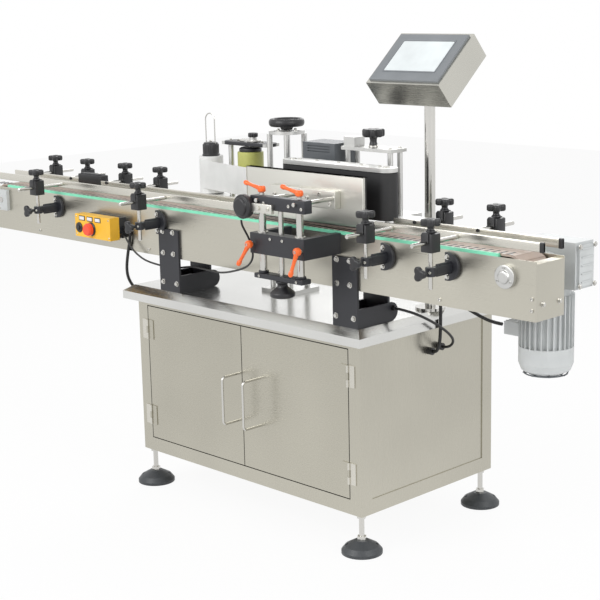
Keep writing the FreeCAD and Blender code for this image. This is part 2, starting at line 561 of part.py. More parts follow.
def door_handle(x):
    """A round wire bent to a D, standing out of the door."""
    owner = body("handle")
    bend = "handle_wire * 3"
    path = owner.newObject("Sketcher::SketchObject", "Path")
    path.AttachmentSupport = ([face for face in owner.Origin.OriginFeatures if face.Role == "YZ_Plane"][0], "")
    path.MapMode = "FlatFace"
    reach = SIZES["handle_reach"]
    tall = SIZES["handle_length"]
    round_off = 3 * SIZES["handle_wire"]
    path.addGeometry(Part.LineSegment(Vector(0, 0, 0), Vector(-reach + round_off, 0, 0)))
    path.addGeometry(Part.ArcOfCircle(Part.Circle(Vector(-reach + round_off, round_off, 0), Vector(0, 0, 1), round_off),
                                      math.pi, 1.5 * math.pi))
    path.addGeometry(Part.LineSegment(Vector(-reach, round_off, 0), Vector(-reach, tall - round_off, 0)))
    path.addGeometry(Part.ArcOfCircle(Part.Circle(Vector(-reach + round_off, tall - round_off, 0), Vector(0, 0, 1),
                                                  round_off), 0.5 * math.pi, math.pi))
    path.addGeometry(Part.LineSegment(Vector(-reach + round_off, tall, 0), Vector(0, tall, 0)))
    for first, last, second, begin in ((0, 2, 1, 2), (1, 1, 2, 1), (2, 2, 3, 2), (3, 1, 4, 1)):
        path.addConstraint(Sketcher.Constraint("Tangent", first, last, second, begin))
    path.addConstraint(Sketcher.Constraint("Coincident", 0, 1, -1, 1))
    path.addConstraint(Sketcher.Constraint("Horizontal", 0))
    path.addConstraint(Sketcher.Constraint("Vertical", 2))
    path.addConstraint(Sketcher.Constraint("Horizontal", 4))
    path.addConstraint(Sketcher.Constraint("PointOnObject", 4, 2, -2))
    path.addConstraint(Sketcher.Constraint("Equal", 1, 3))
    index = path.addConstraint(Sketcher.Constraint("Radius", 1, round_off))
    path.setExpression(f"Constraints[{index}]", formula(bend))
    fix(path, "DistanceX", 2, 1, -reach, "-handle_reach")
    fix(path, "DistanceY", 4, 2, tall, "handle_length")
    ring = disc_sketch(owner, "XZ_Plane", "handle_wire")
    sweep = owner.newObject("PartDesign::AdditivePipe", "Wire")
    sweep.Profile = ring
    sweep.Spine = path
    return put(owner, x, FRONT, "handle_low")


# ---- conveyor -----------------------------------------------------------------------------------

CONVEYOR_LENGTH = "(conveyor_right - conveyor_left)"
MIDDLE = "(conveyor_front + conveyor_width / 2)"


def conveyor_frame():
    """Two side plates with axle holes, the cross ties between them and a cover over the drive end."""
    parts = []
    for y in ("conveyor_front", "conveyor_back - plate"):
        sheet_side = box(CONVEYOR_LENGTH, "plate", "plate_height", "conveyor_left", y, "conveyor_bottom")
        holes = [rod("axle + axle_clearance", "plate", x, y, "axle_height", ALONG_Y) for x in ("drive_x", "idler_x")]
        parts.append(cut(sheet_side, *holes))
    for step in range(4):
        x = f"tie_first + {step} * tie_pitch"
        length = "conveyor_width - 2 * plate"
        parts.append(rod("tie", length, x, "conveyor_front + plate", "tie_height", ALONG_Y))
    cover = "(conveyor_width - 2 * plate)"
    end = box("plate", cover, "plate_height - end_cover_drop", "conveyor_right - plate",
              "conveyor_front + plate", "conveyor_bottom")
    top = box("end_lip", cover, "plate", "conveyor_right - end_lip", "conveyor_front + plate",
              "plate_top - end_cover_drop - plate")
    parts.append(fuse(end, top))
    node("conveyor_frame", *parts)


def wear_strips():
    """Green strips on both side plates: a lip over the plate, a leg inside and a ledge for the slats."""
    length = "(drive_x - idler_x - 2 * strip_setback)"
    ledge_top = "(chain_top - chain_thickness)"
    corners = [("0", "plate_top"), ("plate", "plate_top"), ("plate", "plate_top - strip_leg"),
               ("strip_lip + strip_ledge", "plate_top - strip_leg"), ("strip_lip + strip_ledge", ledge_top),
               ("strip_lip", ledge_top), ("strip_lip", "plate_top + strip_height"),
               ("0", "plate_top + strip_height")]
    front = prism("front_strip", "YZ_Plane", corners, length)
    put(front, "idler_x + strip_setback", "conveyor_front", 0)
    back = prism("back_strip", "YZ_Plane", [(f"-({across})", up) for across, up in corners], length)
    put(back, "idler_x + strip_setback", "conveyor_back", 0)
    node("wear_strips", front, back)


def chain():
    """The slat chain: a loop round both axles, scored across at every joint of its slats."""
    radius = SIZES["chain_radius"]
    inner = radius - SIZES["chain_thickness"]
    span = SIZES["conveyor_right"] - SIZES["drive_inset"] - SIZES["conveyor_left"] - SIZES["idler_inset"]
    pitch_count = round(2 * (span + math.pi * radius) / SIZES["chain_pitch"])
    step = 2 * (span + math.pi * radius) / pitch_count
    half = SIZES["chain_joint"] / 2
    depth = SIZES["chain_thickness"] * 0.45

    def spot(distance, lowered):
        """The point at a distance along the outer face, lowered towards the inside."""
        reach = radius - lowered
        if distance < span:
            return Vector(distance, 0, reach)
        distance -= span
        if distance < math.pi * radius:
            angle = distance / radius
            return Vector(span + reach * math.sin(angle), 0, reach * math.cos(angle))
        distance -= math.pi * radius
        if distance < span:
            return Vector(span - distance, 0, -reach)
        angle = (distance - span) / radius
        return Vector(-reach * math.sin(angle), 0, -reach * math.cos(angle))

    corners = []
    for link in range(pitch_count):
        joint = (link + 0.5) * step
        corners += [spot(joint - half, 0), spot(joint, depth), spot(joint + half, 0)]
    outer = Part.Face(Part.makePolygon(corners + corners[:1]))
    loop = [Vector(0, 0, inner), Vector(span, 0, inner), Vector(span, 0, -inner), Vector(0, 0, -inner)]
    hollow = Part.Face(Part.Wire([
        Part.LineSegment(loop[0], loop[1]).toShape(),
        Part.Arc(loop[1], Vector(span + inner, 0, 0), loop[2]).toShape(),
        Part.LineSegment(loop[2], loop[3]).toShape(),
        Part.Arc(loop[3], Vector(-inner, 0, 0), loop[0]).toShape()]))
    shape = outer.cut(hollow).extrude(Vector(0, SIZES["chain_width"], 0))
    thing = doc.addObject("Part::Feature", "Slats")
    thing.Shape = shape.Solids[0]
    put(thing, "idler_x", "conveyor_front + (conveyor_width - chain_width) / 2", "axle_height")
    node("conveyor_chain", thing)


def shafts():
    """A shaft with two toothed chain wheels at each end of the conveyor."""
    root = "(chain_radius - chain_thickness - chain_play - sprocket_tooth)"
    seat = f"{root} - chain_play"
    tip = f"{root} + sprocket_tooth - chain_play"
    owner = body("chain_wheel")
    pad(owner, disc_sketch(owner, "XY_Plane", root), "sprocket_width")
    tooth = [("-tooth_root", seat), ("tooth_root", seat), ("tooth_tip", tip), ("-tooth_tip", tip)]
    feature = pad(owner, outline(owner, "XY_Plane", tooth), "sprocket_width")
    around(owner, feature, "sprocket_teeth")
    front_end = "conveyor_front - flange_thickness - axle_end"
    for name, x, length in (("drive_shaft", "drive_x", f"conveyor_back + drive_shaft_reach - ({front_end})"),
                            ("idler_shaft", "idler_x", "conveyor_width + 2 * flange_thickness + 2 * axle_end")):
        wheels = [copy(owner, x, f"{MIDDLE} + {offset}", "axle_height", ALONG_Y)
                  for offset in ("sprocket_shift", "-sprocket_shift - sprocket_width")]
        node(name, fuse(rod("axle", length, x, front_end, "axle_height", ALONG_Y), *wheels))


def bearing_flanges():
    """Round flanges at the drive axle, a square block and a small flange at the idler, with running bores."""
    parts = []
    bore = "axle + running_play"
    for y in ("conveyor_front - flange_thickness", "conveyor_back"):
        disc = rod("flange_radius", "flange_thickness", "drive_x", y, "axle_height", ALONG_Y)
        parts.append(cut(disc, rod(bore, "flange_thickness", "drive_x", y, "axle_height", ALONG_Y)))
    block = box("block_width", "flange_thickness", "block_height", "idler_x - block_width / 2",
                "conveyor_front - flange_thickness", "axle_height - block_height / 2")
    cap = rod("idler_flange", "flange_thickness", "idler_x", "conveyor_back", "axle_height", ALONG_Y)
    for piece, y in ((block, "conveyor_front - flange_thickness"), (cap, "conveyor_back")):
        parts.append(cut(piece, rod(bore, "flange_thickness", "idler_x", y, "axle_height", ALONG_Y)))
    node("bearing_flanges", *parts)


def supports():
    """Two black saddles: a tall front and back plate on a cross beam with a rounded tail."""
    parts = []
    for centre in ("support_left_x", "support_right_x"):
        left = f"{centre} - support_width / 2"
        height = "support_top - worktop_top"
        front = box("support_width", "support_plate", height, left, "conveyor_front - support_plate", "worktop_top")
        back = box("support_width", "support_plate", height, left, "conveyor_back", "worktop_top")
        reach = "(conveyor_width + support_tail)"
        beams = []
        for x in (left, f"{centre} + support_width / 2 - support_plate"):
            web = box("support_plate", reach, "support_beam", x, "conveyor_front", "worktop_top")
            nose = rod("support_beam / 2", "support_plate", x, f"conveyor_front + {reach}",
                       "worktop_top + support_beam / 2", ALONG_X)
            beams += [web, nose]
        foot = box("support_width", reach, "support_plate", left, "conveyor_front", "worktop_top")
        parts.append(fuse(front, back, foot, *beams))
    node("conveyor_supports", *parts)


# ---- gearmotor ----------------------------------------------------------------------------------

GEARBOX_WIDTH = "(gearbox_right - gearbox_left)"
GEARBOX_MIDDLE = "(gearbox_front + gearbox_depth / 2)"


def gearbox():
    """A worm gear case with a boss that reaches the conveyor and a ribbed square cover at its end."""
    case = box(GEARBOX_WIDTH, "gearbox_depth", "gearbox_height", "gearbox_left", "gearbox_front", "gearbox_bottom")
    boss_y = "conveyor_back + flange_thickness"
    boss = rod("gearbox_boss", f"gearbox_front - ({boss_y})", "drive_x", boss_y, "axle_height", ALONG_Y)
    rim = rod("gearbox_rim", "gearbox_rim_depth", "drive_x", "gearbox_front + gearbox_depth", "axle_height", ALONG_Y)
    flange = rod("motor_flange", "motor_flange_thickness", "motor_x", GEARBOX_MIDDLE,
                 "gearbox_bottom - motor_flange_thickness")
    cover = box("cover_thickness", "gearbox_depth - 2 * cover_margin", "gearbox_height - 2 * cover_margin",
                "gearbox_right", "gearbox_front + cover_margin", "gearbox_bottom + cover_margin")
    ribs = []
    for step in range(5):
        z = f"gearbox_bottom + cover_margin + {step + 0.5} * (gearbox_height - 2 * cover_margin) / 5"
        ribs.append(box("cover_thickness + cover_rib", "gearbox_depth - 4 * cover_margin", "cover_rib",
                        "gearbox_right", "gearbox_front + 2 * cover_margin", z))
    bore = rod("axle + running_play", "gearbox_depth", "drive_x", boss_y, "axle_height", ALONG_Y)
    node("gearbox", cut(fuse(case, boss, rim, flange, cover, *ribs), bore))


def motor():
    """A finned motor that hangs below the gear case, with its fan cover and terminal box."""
    owner = body("motor_fins")
    pad(owner, disc_sketch(owner, "XY_Plane", "motor_core"), "motor_length")
    root = "motor_core - motor_fin_root"
    tip = "motor_core + motor_fin"
    half = "motor_fin_thickness / 2"
    fin = [(root, f"-{half}"), (tip, f"-{half}"), (tip, half), (root, half)]
    feature = pad(owner, outline(owner, "XY_Plane", fin), "motor_length - motor_neck")
    around(owner, feature, "motor_fins")
    fan = turned("fan_cover", [("0", "0"), ("fan_radius * 0.62", "0"), ("fan_radius * 0.9", "fan_height * 0.14"),
                               ("fan_radius", "fan_height * 0.4"), ("fan_radius", "fan_height"),
                               ("0", "fan_height")])
    put(owner, "motor_x", GEARBOX_MIDDLE, "motor_bottom")
    put(fan, "motor_x", GEARBOX_MIDDLE, "motor_bottom - fan_height")
    terminal = box("terminal_width", "terminal_depth", "terminal_height",
                   "motor_x - motor_core - terminal_width + terminal_seat", f"{GEARBOX_MIDDLE} - terminal_depth / 2",
                   "terminal_bottom")
    node("gear_motor", fuse(owner, fan, terminal))


# ---- control box --------------------------------------------------------------------------------

BOX_FRONT = "(conveyor_front - spacer_depth - box_depth)"


def control_box():
    """The yellow box with its legend plates, its black spacer and its two push buttons."""
    case = box("box_width", "box_depth", "box_height", "box_left", BOX_FRONT, "box_bottom")
    stop_bore = rod("stop_neck + button_play", "box_depth - sheet", "stop_x", BOX_FRONT, "button_height", ALONG_Y)
    start_bore = rod("start_radius + button_play", "start_well", "start_x", BOX_FRONT, "button_height", ALONG_Y)
    ring = ("start_collar_height", "start_x", f"{BOX_FRONT} - start_collar_height", "button_height", ALONG_Y)
    collar = cut(rod("start_collar", *ring), rod("start_radius + button_play", *ring))
    legends = [box("legend_width", "legend_thickness", "legend_height",
                   f"legend_first_x + {step} * legend_pitch - legend_width / 2", f"{BOX_FRONT} - legend_thickness",
                   "box_bottom + legend_rise - legend_height / 2") for step in range(3)]
    node("control_box", cut(case, stop_bore, start_bore), collar, *legends)
    node("control_box_spacer", box("box_width - 2 * spacer_margin", "spacer_depth", "box_height - 2 * spacer_margin",
                                   "box_left + spacer_margin", "conveyor_front - spacer_depth",
                                   "box_bottom + spacer_margin"))
    cap = [("0", "-box_depth / 2"), ("stop_neck", "-box_depth / 2"), ("stop_neck", "stop_travel_gap"),
           ("stop_radius", "stop_travel_gap"), ("stop_radius", "stop_travel_gap + stop_cap * 0.6"),
           ("stop_radius * 0.8", "stop_travel_gap + stop_cap"), ("0", "stop_travel_gap + stop_cap")]
    mushroom = turned("stop_cap", cap)
    put(mushroom, "stop_x", BOX_FRONT, "button_height", FACING_FRONT)
    node("stop_button", mushroom)
    pill = [("0", "-start_well / 2"), ("start_radius", "-start_well / 2"), ("start_radius", "start_height * 0.8"),
            ("start_radius * 0.8", "start_height"), ("0", "start_height")]
    push = turned("start_cap", pill)
    put(push, "start_x", BOX_FRONT, "button_height", FACING_FRONT)
    node("start_button", push)


# ---- guide rails --------------------------------------------------------------------------------

FRONT_CLAMPS = {"left": ("front_clamp_first", "front_clamp_second"), "right": ("front_clamp_third", "front_clamp_fourth")}
BACK_CLAMPS = {"left": ("back_clamp_first", "back_clamp_second", "back_clamp_third", "back_clamp_fourth"),
               "right": ("back_clamp_fifth", "back_clamp_sixth")}
ROD_LEVEL = "(rail_bottom + rail_height / 2)"


def star(radius, height, notch, x=0, y=0, z=0):
    """A four-lobed grip: a disc less four notches in its rim."""
    disc = rod(radius, height, x, y, z)
    away = f"({radius} * 1.22)"
    dents = []
    for side_x, side_y in ((1, 0), (-1, 0), (0, 1), (0, -1)):
        dents.append(rod(notch, height, f"{x} + {side_x} * {away}", f"{y} + {side_y} * {away}", z))
    return cut(disc, *dents)


def clamp_forms():
    """One rail clamp, drawn with its vertical post at X = Y = 0 and the conveyor towards +Y.

    The fixed bracket is a half-moon plate on the side of the conveyor, an arm, a ring for the post and
    a wing screw. The post carries a block for the rail's rod and a knob on top.
    """
    plate_y = "post_reach - bracket_thickness"
    half_moon = cut(rod("bracket_radius", "bracket_thickness", "-bracket_offset", plate_y, "bracket_height", ALONG_Y),
                    box("bracket_radius", "bracket_thickness", "2 * bracket_radius",
                        "-bracket_offset - bracket_radius", plate_y, "bracket_height - bracket_radius"))
    arm_low = "bracket_height - arm_height / 2"
    arm = box("arm_width", plate_y, "arm_height", "-arm_width / 2", 0, arm_low)
    ring = rod("ring_radius", "arm_height", 0, 0, arm_low)
    stem_y = "-ring_radius - wing_reach + wing_seat"
    stem = rod("wing_stem", "wing_reach", 0, stem_y, "bracket_height", ALONG_Y)
    wing = fuse(rod("wing_radius", "wing_thickness", 0, f"{stem_y} - wing_thickness", "bracket_height", ALONG_Y),
                box("wing_width", "wing_thickness * 0.6", "wing_thickness", "-wing_width / 2",
                    f"{stem_y} - wing_thickness * 0.8", "bracket_height - wing_thickness / 2"))
    bore = rod("rail_rod + running_play", "arm_height", 0, 0, arm_low)
    bracket = cut(fuse(half_moon, arm, ring, stem, wing), bore)
    post = rod("rail_rod", "post_length", 0, 0, "post_bottom")
    block = box("clamp_block", "clamp_block", "clamp_block_height", "-clamp_block / 2", "-clamp_block / 2",
                "clamp_block_bottom")
    tunnel = rod("rail_rod + running_play", "clamp_block", 0, "-clamp_block / 2", ROD_LEVEL, ALONG_Y)
    block_top = "clamp_block_bottom + clamp_block_height"
    neck = rod("knob_neck", "knob_neck_height", 0, 0, block_top)
    grip = star("knob_radius", "knob_height", "knob_notch", 0, 0, f"{block_top} + knob_neck_height")
    return bracket, cut(fuse(post, block, neck, grip), tunnel)


def rails():
    """Front and back guide rails, each on rods that slide in blocks on height-adjustable posts."""
    bracket, post = clamp_forms()
    post_front = "conveyor_front - post_reach"
    post_back = "conveyor_back + post_reach"
    face_front = "conveyor_front + rail_overhang"
    face_back = "conveyor_back - rail_overhang"
    rail_z = "rail_bottom"
    brackets = []
    spans = {"left": ("rail_left", "front_left_end - rail_left"),
             "right": ("front_right_start", "rail_right - front_right_start")}
    reliefs = [box("support_width + 2 * seat_gap", "support_plate + seat_gap", "support_top + seat_gap",
                   f"{centre} - support_width / 2 - seat_gap", "conveyor_front - support_plate - seat_gap", 0)
               for centre in ("support_left_x", "support_right_x")]
    for side, places in FRONT_CLAMPS.items():
        brackets += [cut(copy(bracket, x, post_front), *reliefs) for x in places]
        node(f"front_{side}_posts", *[copy(post, x, post_front) for x in places])
        start, length = spans[side]
        rail = box(length, "rail_thickness", "rail_height", start, face_front, rail_z)
        rods = [rod("rail_rod", "rod_reach + rail_overhang", x, "conveyor_front - rod_reach", ROD_LEVEL, ALONG_Y)
                for x in places]
        node(f"front_{side}_rail", fuse(rail, *rods))
    for side, places in BACK_CLAMPS.items():
        brackets += [copy(mirror(bracket, Vector(0, 1, 0)), x, post_back) for x in places]
        node(f"back_{side}_posts", *[copy(post, x, post_back, 0, HALF_TURN) for x in places])
        rods = [rod("rail_rod", "rod_reach + rail_overhang", x, face_back, ROD_LEVEL, ALONG_Y) for x in places]
        rail_y = f"{face_back} - rail_thickness"
        if side == "left":
            first = box("back_left_gap - rail_left", "rail_thickness", "rail_height", "rail_left", rail_y, rail_z)
            second = box("back_left_end - back_left_next", "rail_thickness", "rail_height", "back_left_next",
                         rail_y, rail_z)
            unit = box("back_left_next - back_left_gap", "separator_depth", "separator_height", "back_left_gap",
                       rail_y, f"{rail_z} + separator_rise")
            bar = box("back_left_next - back_left_gap + 2 * joint_bar_lap", "rail_thickness", "joint_bar_height",
                      "back_left_gap - joint_bar_lap", f"{rail_y} + rail_thickness", f"{rail_z} + joint_bar_rise")
            node("back_left_rail", fuse(first, second, unit, bar, *rods))
        else:
            rail = box("rail_right - back_right_start", "rail_thickness", "rail_height", "back_right_start",
                       rail_y, rail_z)
            node("back_right_rail", fuse(rail, *rods))
    node("rail_brackets", *brackets)


# ---- press unit ---------------------------------------------------------------------------------

PRESS_MIDDLE = "(press_front + press_block_depth / 2)"
PRESS_RIGHT = "(press_left + press_width)"
PRESS_POSTS = ("press_post_left", "press_post_right")
TOP_TOP = "(press_top_bottom + press_top_height)"
TOP_FRONT = f"({PRESS_MIDDLE} - press_top_depth / 2)"
FOOT_BOTTOM = "(press_post_bottom - press_foot_thickness)"


def press_bracket():
    """The machined bracket on the conveyor: two arms and a cross block bored for posts and screw."""
    block = box("press_width", "press_block_depth", "press_block_height", "press_left", "press_front",
                "press_block_bottom")
    arms = [box("press_arm", "conveyor_front - press_front - press_block_depth", "press_block_height", x,
                "press_front + press_block_depth", "press_block_bottom")
            for x in ("press_left", f"{PRESS_RIGHT} - press_arm")]
    bores = [rod("press_post + press_post_play", "press_block_height", x, PRESS_MIDDLE, "press_block_bottom")
             for x in PRESS_POSTS]
    bores.append(rod("press_screw + press_post_play", "press_block_height", "press_middle", PRESS_MIDDLE,
                     "press_block_bottom"))
    node("press_bracket", cut(fuse(block, *arms), *bores))


def press_posts():
    """Two chrome posts between a foot plate and the top block that holds the pressure plate's rods."""
    length = "press_top_bottom + press_post_lap - press_post_bottom + press_foot_thickness / 2"
    posts = [rod("press_post", length, x, PRESS_MIDDLE, "press_post_bottom - press_foot_thickness / 2")
             for x in PRESS_POSTS]
    top = box("press_width", "press_top_depth", "press_top_height", "press_left", TOP_FRONT, "press_top_bottom")
    tunnels = [rod("press_rod + running_play", "press_top_depth", x, TOP_FRONT, "press_rod_height", ALONG_Y)
               for x in PRESS_POSTS]
    foot = box("press_foot_width", "press_top_depth", "press_foot_thickness", "press_middle - press_foot_width / 2", TOP_FRONT,
               FOOT_BOTTOM)
    bore = rod("press_screw + press_post_play", "press_foot_thickness", "press_middle", PRESS_MIDDLE, FOOT_BOTTOM)
    node("press_posts", cut(fuse(top, foot, *posts), bore, *tunnels))


def press_screw():
    """The height screw with its flared hand knob below the foot plate."""
    knob_top = f"{FOOT_BOTTOM} - seat_gap"
    knob = turned("press_knob", [("0", "-press_knob_height"), ("press_knob_radius * 0.75", "-press_knob_height"),
                                 ("press_knob_radius", "-press_knob_height * 0.84"),
                                 ("press_knob_radius", "-press_knob_height * 0.66"),
                                 ("press_knob_radius * 0.62", "-press_knob_height * 0.5"),
                                 ("press_knob_radius * 0.45", "-press_knob_height * 0.2"),
                                 ("press_knob_radius * 0.36", "0"), ("0", "0")])
    put(knob, "press_middle", PRESS_MIDDLE, knob_top)
    screw = rod("press_screw", f"press_top_bottom - seat_gap - ({knob_top}) + press_screw_seat", "press_middle",
                PRESS_MIDDLE, f"{knob_top} - press_screw_seat")
    node("press_screw", fuse(knob, screw))


def pressure_plate():
    """The padded plate that holds a bottle against the belt, its carrier block and two guide rods."""
    plate = box("pressure_width", "pressure_plate", "pressure_height", "pressure_left", "pressure_front",
                "pressure_bottom")
    pad_solid = box("pressure_width", "pressure_pad", "pressure_height", "pressure_left",
                    "pressure_front + pressure_plate", "pressure_bottom")
    carrier = box("carrier_width", "carrier_depth", "carrier_height", "carrier_left",
                  "pressure_front - carrier_depth", "carrier_bottom")
    reach = f"pressure_front - carrier_depth - ({TOP_FRONT}) + press_rod_tip"
    rods = [rod("press_rod", reach, x, f"{TOP_FRONT} - press_rod_tip", "press_rod_height", ALONG_Y)
            for x in PRESS_POSTS]
    node("pressure_plate", fuse(plate, carrier, *rods), pad_solid)


def clamp_levers():
    """Four clamping levers: a hub and a rising tapered arm with a rounded end."""
    lift = "lever_hub_height * 0.62"
    hub = rod("lever_hub", "lever_hub_height", 0, 0, 0)
    arm = cone("lever_root", "lever_tip", "lever_length", 0, 0, lift, (Vector(0, 1, 0), -90 + SIZES["lever_rise"]))
    tip = ball("lever_tip", "-lever_length * cos(lever_rise * 1 deg)", 0,
               f"{lift} + lever_length * sin(lever_rise * 1 deg)")
    lever = fuse(hub, arm, tip)
    for name, x in (("top_left_lever", "press_post_left"), ("top_right_lever", "press_post_right")):
        node(name, copy(lever, x, PRESS_MIDDLE, f"{TOP_TOP} + seat_gap"))
    level = "press_block_bottom + press_block_height * 0.45"
    face = "press_front - seat_gap"
    for name, x, angle in (("front_left_lever", "press_left + front_lever_inset", -62),
                           ("front_right_lever", f"{PRESS_RIGHT} - front_lever_inset", -78)):
        turn = Rotation(Vector(0, 1, 0), angle) * Rotation(Vector(1, 0, 0), 90)
        node(name, copy(lever, x, face, level, (turn.Axis, math.degrees(turn.Angle))))


def bottle_sensor():
    """A round sensor held by a split clamp on the press unit's top block."""
    low_y = f"{TOP_FRONT} - sensor_clamp_depth"
    disc = rod("sensor_radius", "sensor_depth", "sensor_x", f"{TOP_FRONT} - sensor_depth", "sensor_height", ALONG_Y)
    cap = rod("sensor_radius * 0.45", "sensor_cap_depth", "sensor_x",
              f"{TOP_FRONT} - sensor_depth - sensor_cap_depth", "sensor_height", ALONG_Y)
    clamp = box("sensor_clamp_length", "sensor_clamp_depth", "sensor_clamp_height", "sensor_x + sensor_radius", low_y,
                "sensor_height - sensor_clamp_height / 2")
    end = rod("sensor_clamp_height / 2", "sensor_clamp_depth", "sensor_x + sensor_radius + sensor_clamp_length",
              low_y, "sensor_height", ALONG_Y)
    outlet = rod("sensor_outlet", "sensor_radius", "sensor_x - sensor_outlet_shift", f"{TOP_FRONT} - sensor_depth / 2",
                 "sensor_height - sensor_radius - sensor_outlet_reach")
    node("bottle_sensor", fuse(disc, cap, clamp, end, outlet))


# ---- labelling head -----------------------------------------------------------------------------

WRAP_LENGTH = "(wrap_right_x - wrap_left_x)"
WEB_START = "(head_middle - rewind_roll - seat_gap)"


def slot_plate(radius, thickness, z):
    """A plate with round ends over both belt rollers."""
    bar = box(WRAP_LENGTH, f"2 * ({radius})", thickness, "wrap_left_x", f"wrap_y - ({radius})", z)
    ends = [rod(radius, thickness, x, "wrap_y", z) for x in ("wrap_left_x", "wrap_right_x")]
    return fuse(bar, *ends)


def head_column():
    """Four posts on a foot plate, with the head's lift screw plate on top."""
    base = box("column_base", "column_base", "head_plate", "column_x - column_base / 2",
               "head_middle - column_base / 2", "worktop_top")
    half = "column_pitch / 2"
    top = cut(rod("column_plate", "column_plate_thickness", "column_x", "head_middle", "column_plate_bottom"),
              rod("lift_screw + running_play", "column_plate_thickness", "column_x", "head_middle",
                  "column_plate_bottom"))
    posts = []
    for side_x in ("-", "+"):
        for side_y in ("-", "+"):
            posts.append(rod("column_post", "column_plate_bottom - worktop_top", f"column_x {side_x} {half}",
                             f"head_middle {side_y} {half}", "worktop_top"))
    node("head_column", fuse(base, top, *posts))


def lift_wheel():
    """The handwheel with three spokes, its hub and the lift screw."""
    rim_reach = "(wheel_radius - wheel_rim / 2)"
    rim_level = "wheel_height - wheel_rim / 2"
    rim = bind(doc.addObject("Part::Torus", "Rim"), Radius1=rim_reach, Radius2="wheel_rim / 2")
    put(rim, "column_x", "head_middle", rim_level)
    hub_low = "column_plate_bottom + column_plate_thickness + seat_gap"
    hub = cone("wheel_hub", "wheel_hub * 0.8", f"wheel_height - wheel_hub_drop - ({hub_low})", "column_x",
               "head_middle", hub_low)
    spoke = group(box(rim_reach, "spoke_width", "spoke_height", 0, "-spoke_width / 2", "-spoke_height / 2"))
    spokes = [copy(spoke, "column_x", "head_middle", rim_level, (Vector(0, 0, 1), angle)) for angle in (90, 210, 330)]
    screw = rod("lift_screw", f"{hub_low} - head_base + lift_screw_tail", "column_x", "head_middle",
                "head_base - lift_screw_tail")
    node("lift_wheel", fuse(rim, hub, screw, *spokes))


def head_frame():
    """The lifting frame: base plate, belt cover plate on struts, the yoke over the feed drum and an arm.

    Its plates, posts and pins are separate pieces that are screwed together face to face.
    """
    corners = [("head_left", "head_step_y"), ("head_step_x", "head_step_y"), ("head_step_x", "head_front"),
               ("head_right", "head_front"), ("head_right", "head_notch_y"), ("head_notch_x", "head_notch_y"),
               ("head_notch_x", "head_back"), ("head_left", "head_back")]
    half = "column_pitch / 2"
    bores = [(f"column_x {side_x} {half}", f"head_middle {side_y} {half}", "column_post + running_play")
             for side_x in "-+" for side_y in "-+"]
    bores.append(("column_x", "head_middle", "lift_screw + running_play"))
    base = prism("head_base", "XY_Plane", corners, "head_plate", holes=bores)
    put(base, 0, 0, "head_base")
    wrap_plate = slot_plate("wrap_outer", "head_plate", "wrap_plate_bottom")
    struts = [rod("wrap_strut", "wrap_plate_bottom - base_top", x, "wrap_y", "base_top")
              for x in ("wrap_strut_left", "wrap_strut_right")]
    yoke_y = "head_middle - yoke_depth / 2"
    yoke = box("yoke_right - yoke_left", "yoke_depth", "yoke_thickness", "yoke_left", yoke_y, "yoke_bottom")
    inset = "yoke_post + yoke_edge"
    yoke_posts = [rod("yoke_post", "yoke_bottom - base_top", x, "head_middle", "base_top")
                  for x in (f"yoke_left + {inset}", f"yoke_right - ({inset})")]
    yoke_top = "yoke_bottom + yoke_thickness"
    cap = rod("yoke_cap", "yoke_cap_height", "drum_x", "head_middle", yoke_top)
    thumb = rod("yoke_knob", "yoke_knob_height", "drum_x + yoke_knob_shift", "head_middle", f"{yoke_top} + yoke_cap_height")
    arm = box("arm_right - arm_left", "arm_depth", "arm_thickness", "arm_left", "arm_front", "arm_bottom")
    arm_posts = [rod("arm_post", "arm_bottom - base_top", x, y, "base_top")
                 for x in ("arm_left + arm_post_inset", "arm_right - arm_post_inset")
                 for y in ("arm_front + arm_post_inset", "arm_front + arm_depth - arm_post_inset")]
    block = box("arm_block", "arm_block", "arm_block_height", "arm_left + arm_block_inset_x",
                "arm_front + arm_block_inset_y", "arm_bottom + arm_thickness")
    pins = [rod("wrap_shaft", "wrap_plate_bottom - base_top", x, "wrap_y", "base_top")
            for x in ("wrap_left_x", "wrap_right_x")]
    drum_pin = rod("drum_shaft", "yoke_bottom - base_top", "drum_x", "head_middle", "base_top")
    rewind_pin = rod("drum_shaft", "rewind_cap_bottom - base_top + rewind_core_lap", "rewind_x", "head_middle", "base_top")
    slope = f"(({WEB_START}) - web_end_y) / (web_end_x - rewind_x)"
    peel = box("peel_thickness", "peel_depth", "web_bottom + web_height - base_top", "web_end_x - peel_thickness",
               f"web_end_y + {slope} * peel_thickness + seat_gap", "base_top")
    node("head_frame", base, wrap_plate, *struts, *pins, fuse(yoke, cap, thumb), *yoke_posts, drum_pin, arm, block,
         *arm_posts, rewind_pin, peel)


def wrap_belt():
    """The sponge belt loop that rolls the bottle, and the two rollers it runs on."""
    inner = "(wrap_outer - wrap_belt)"
    node("wrap_belt", cut(slot_plate("wrap_outer", "wrap_height", "wrap_bottom"),
                          slot_plate(inner, "wrap_height", "wrap_bottom")))
    for name, x in (("wrap_drive_roller", "wrap_right_x"), ("wrap_idler_roller", "wrap_left_x")):
        wheel = rod(f"{inner} - wrap_play", "wrap_height", x, "wrap_y", "wrap_bottom")
        node(name, cut(wheel, rod("wrap_shaft + running_play", "wrap_height", x, "wrap_y", "wrap_bottom")))


def feed_drum():
    """The coated feed drum under the yoke, turning on a fixed pin."""
    low = "base_top + seat_gap"
    wheel = rod("drum", f"drum_top - ({low})", "drum_x", "head_middle", low)
    node("feed_drum", cut(wheel, rod("drum_shaft + running_play", f"drum_top - ({low})", "drum_x", "head_middle", low)))


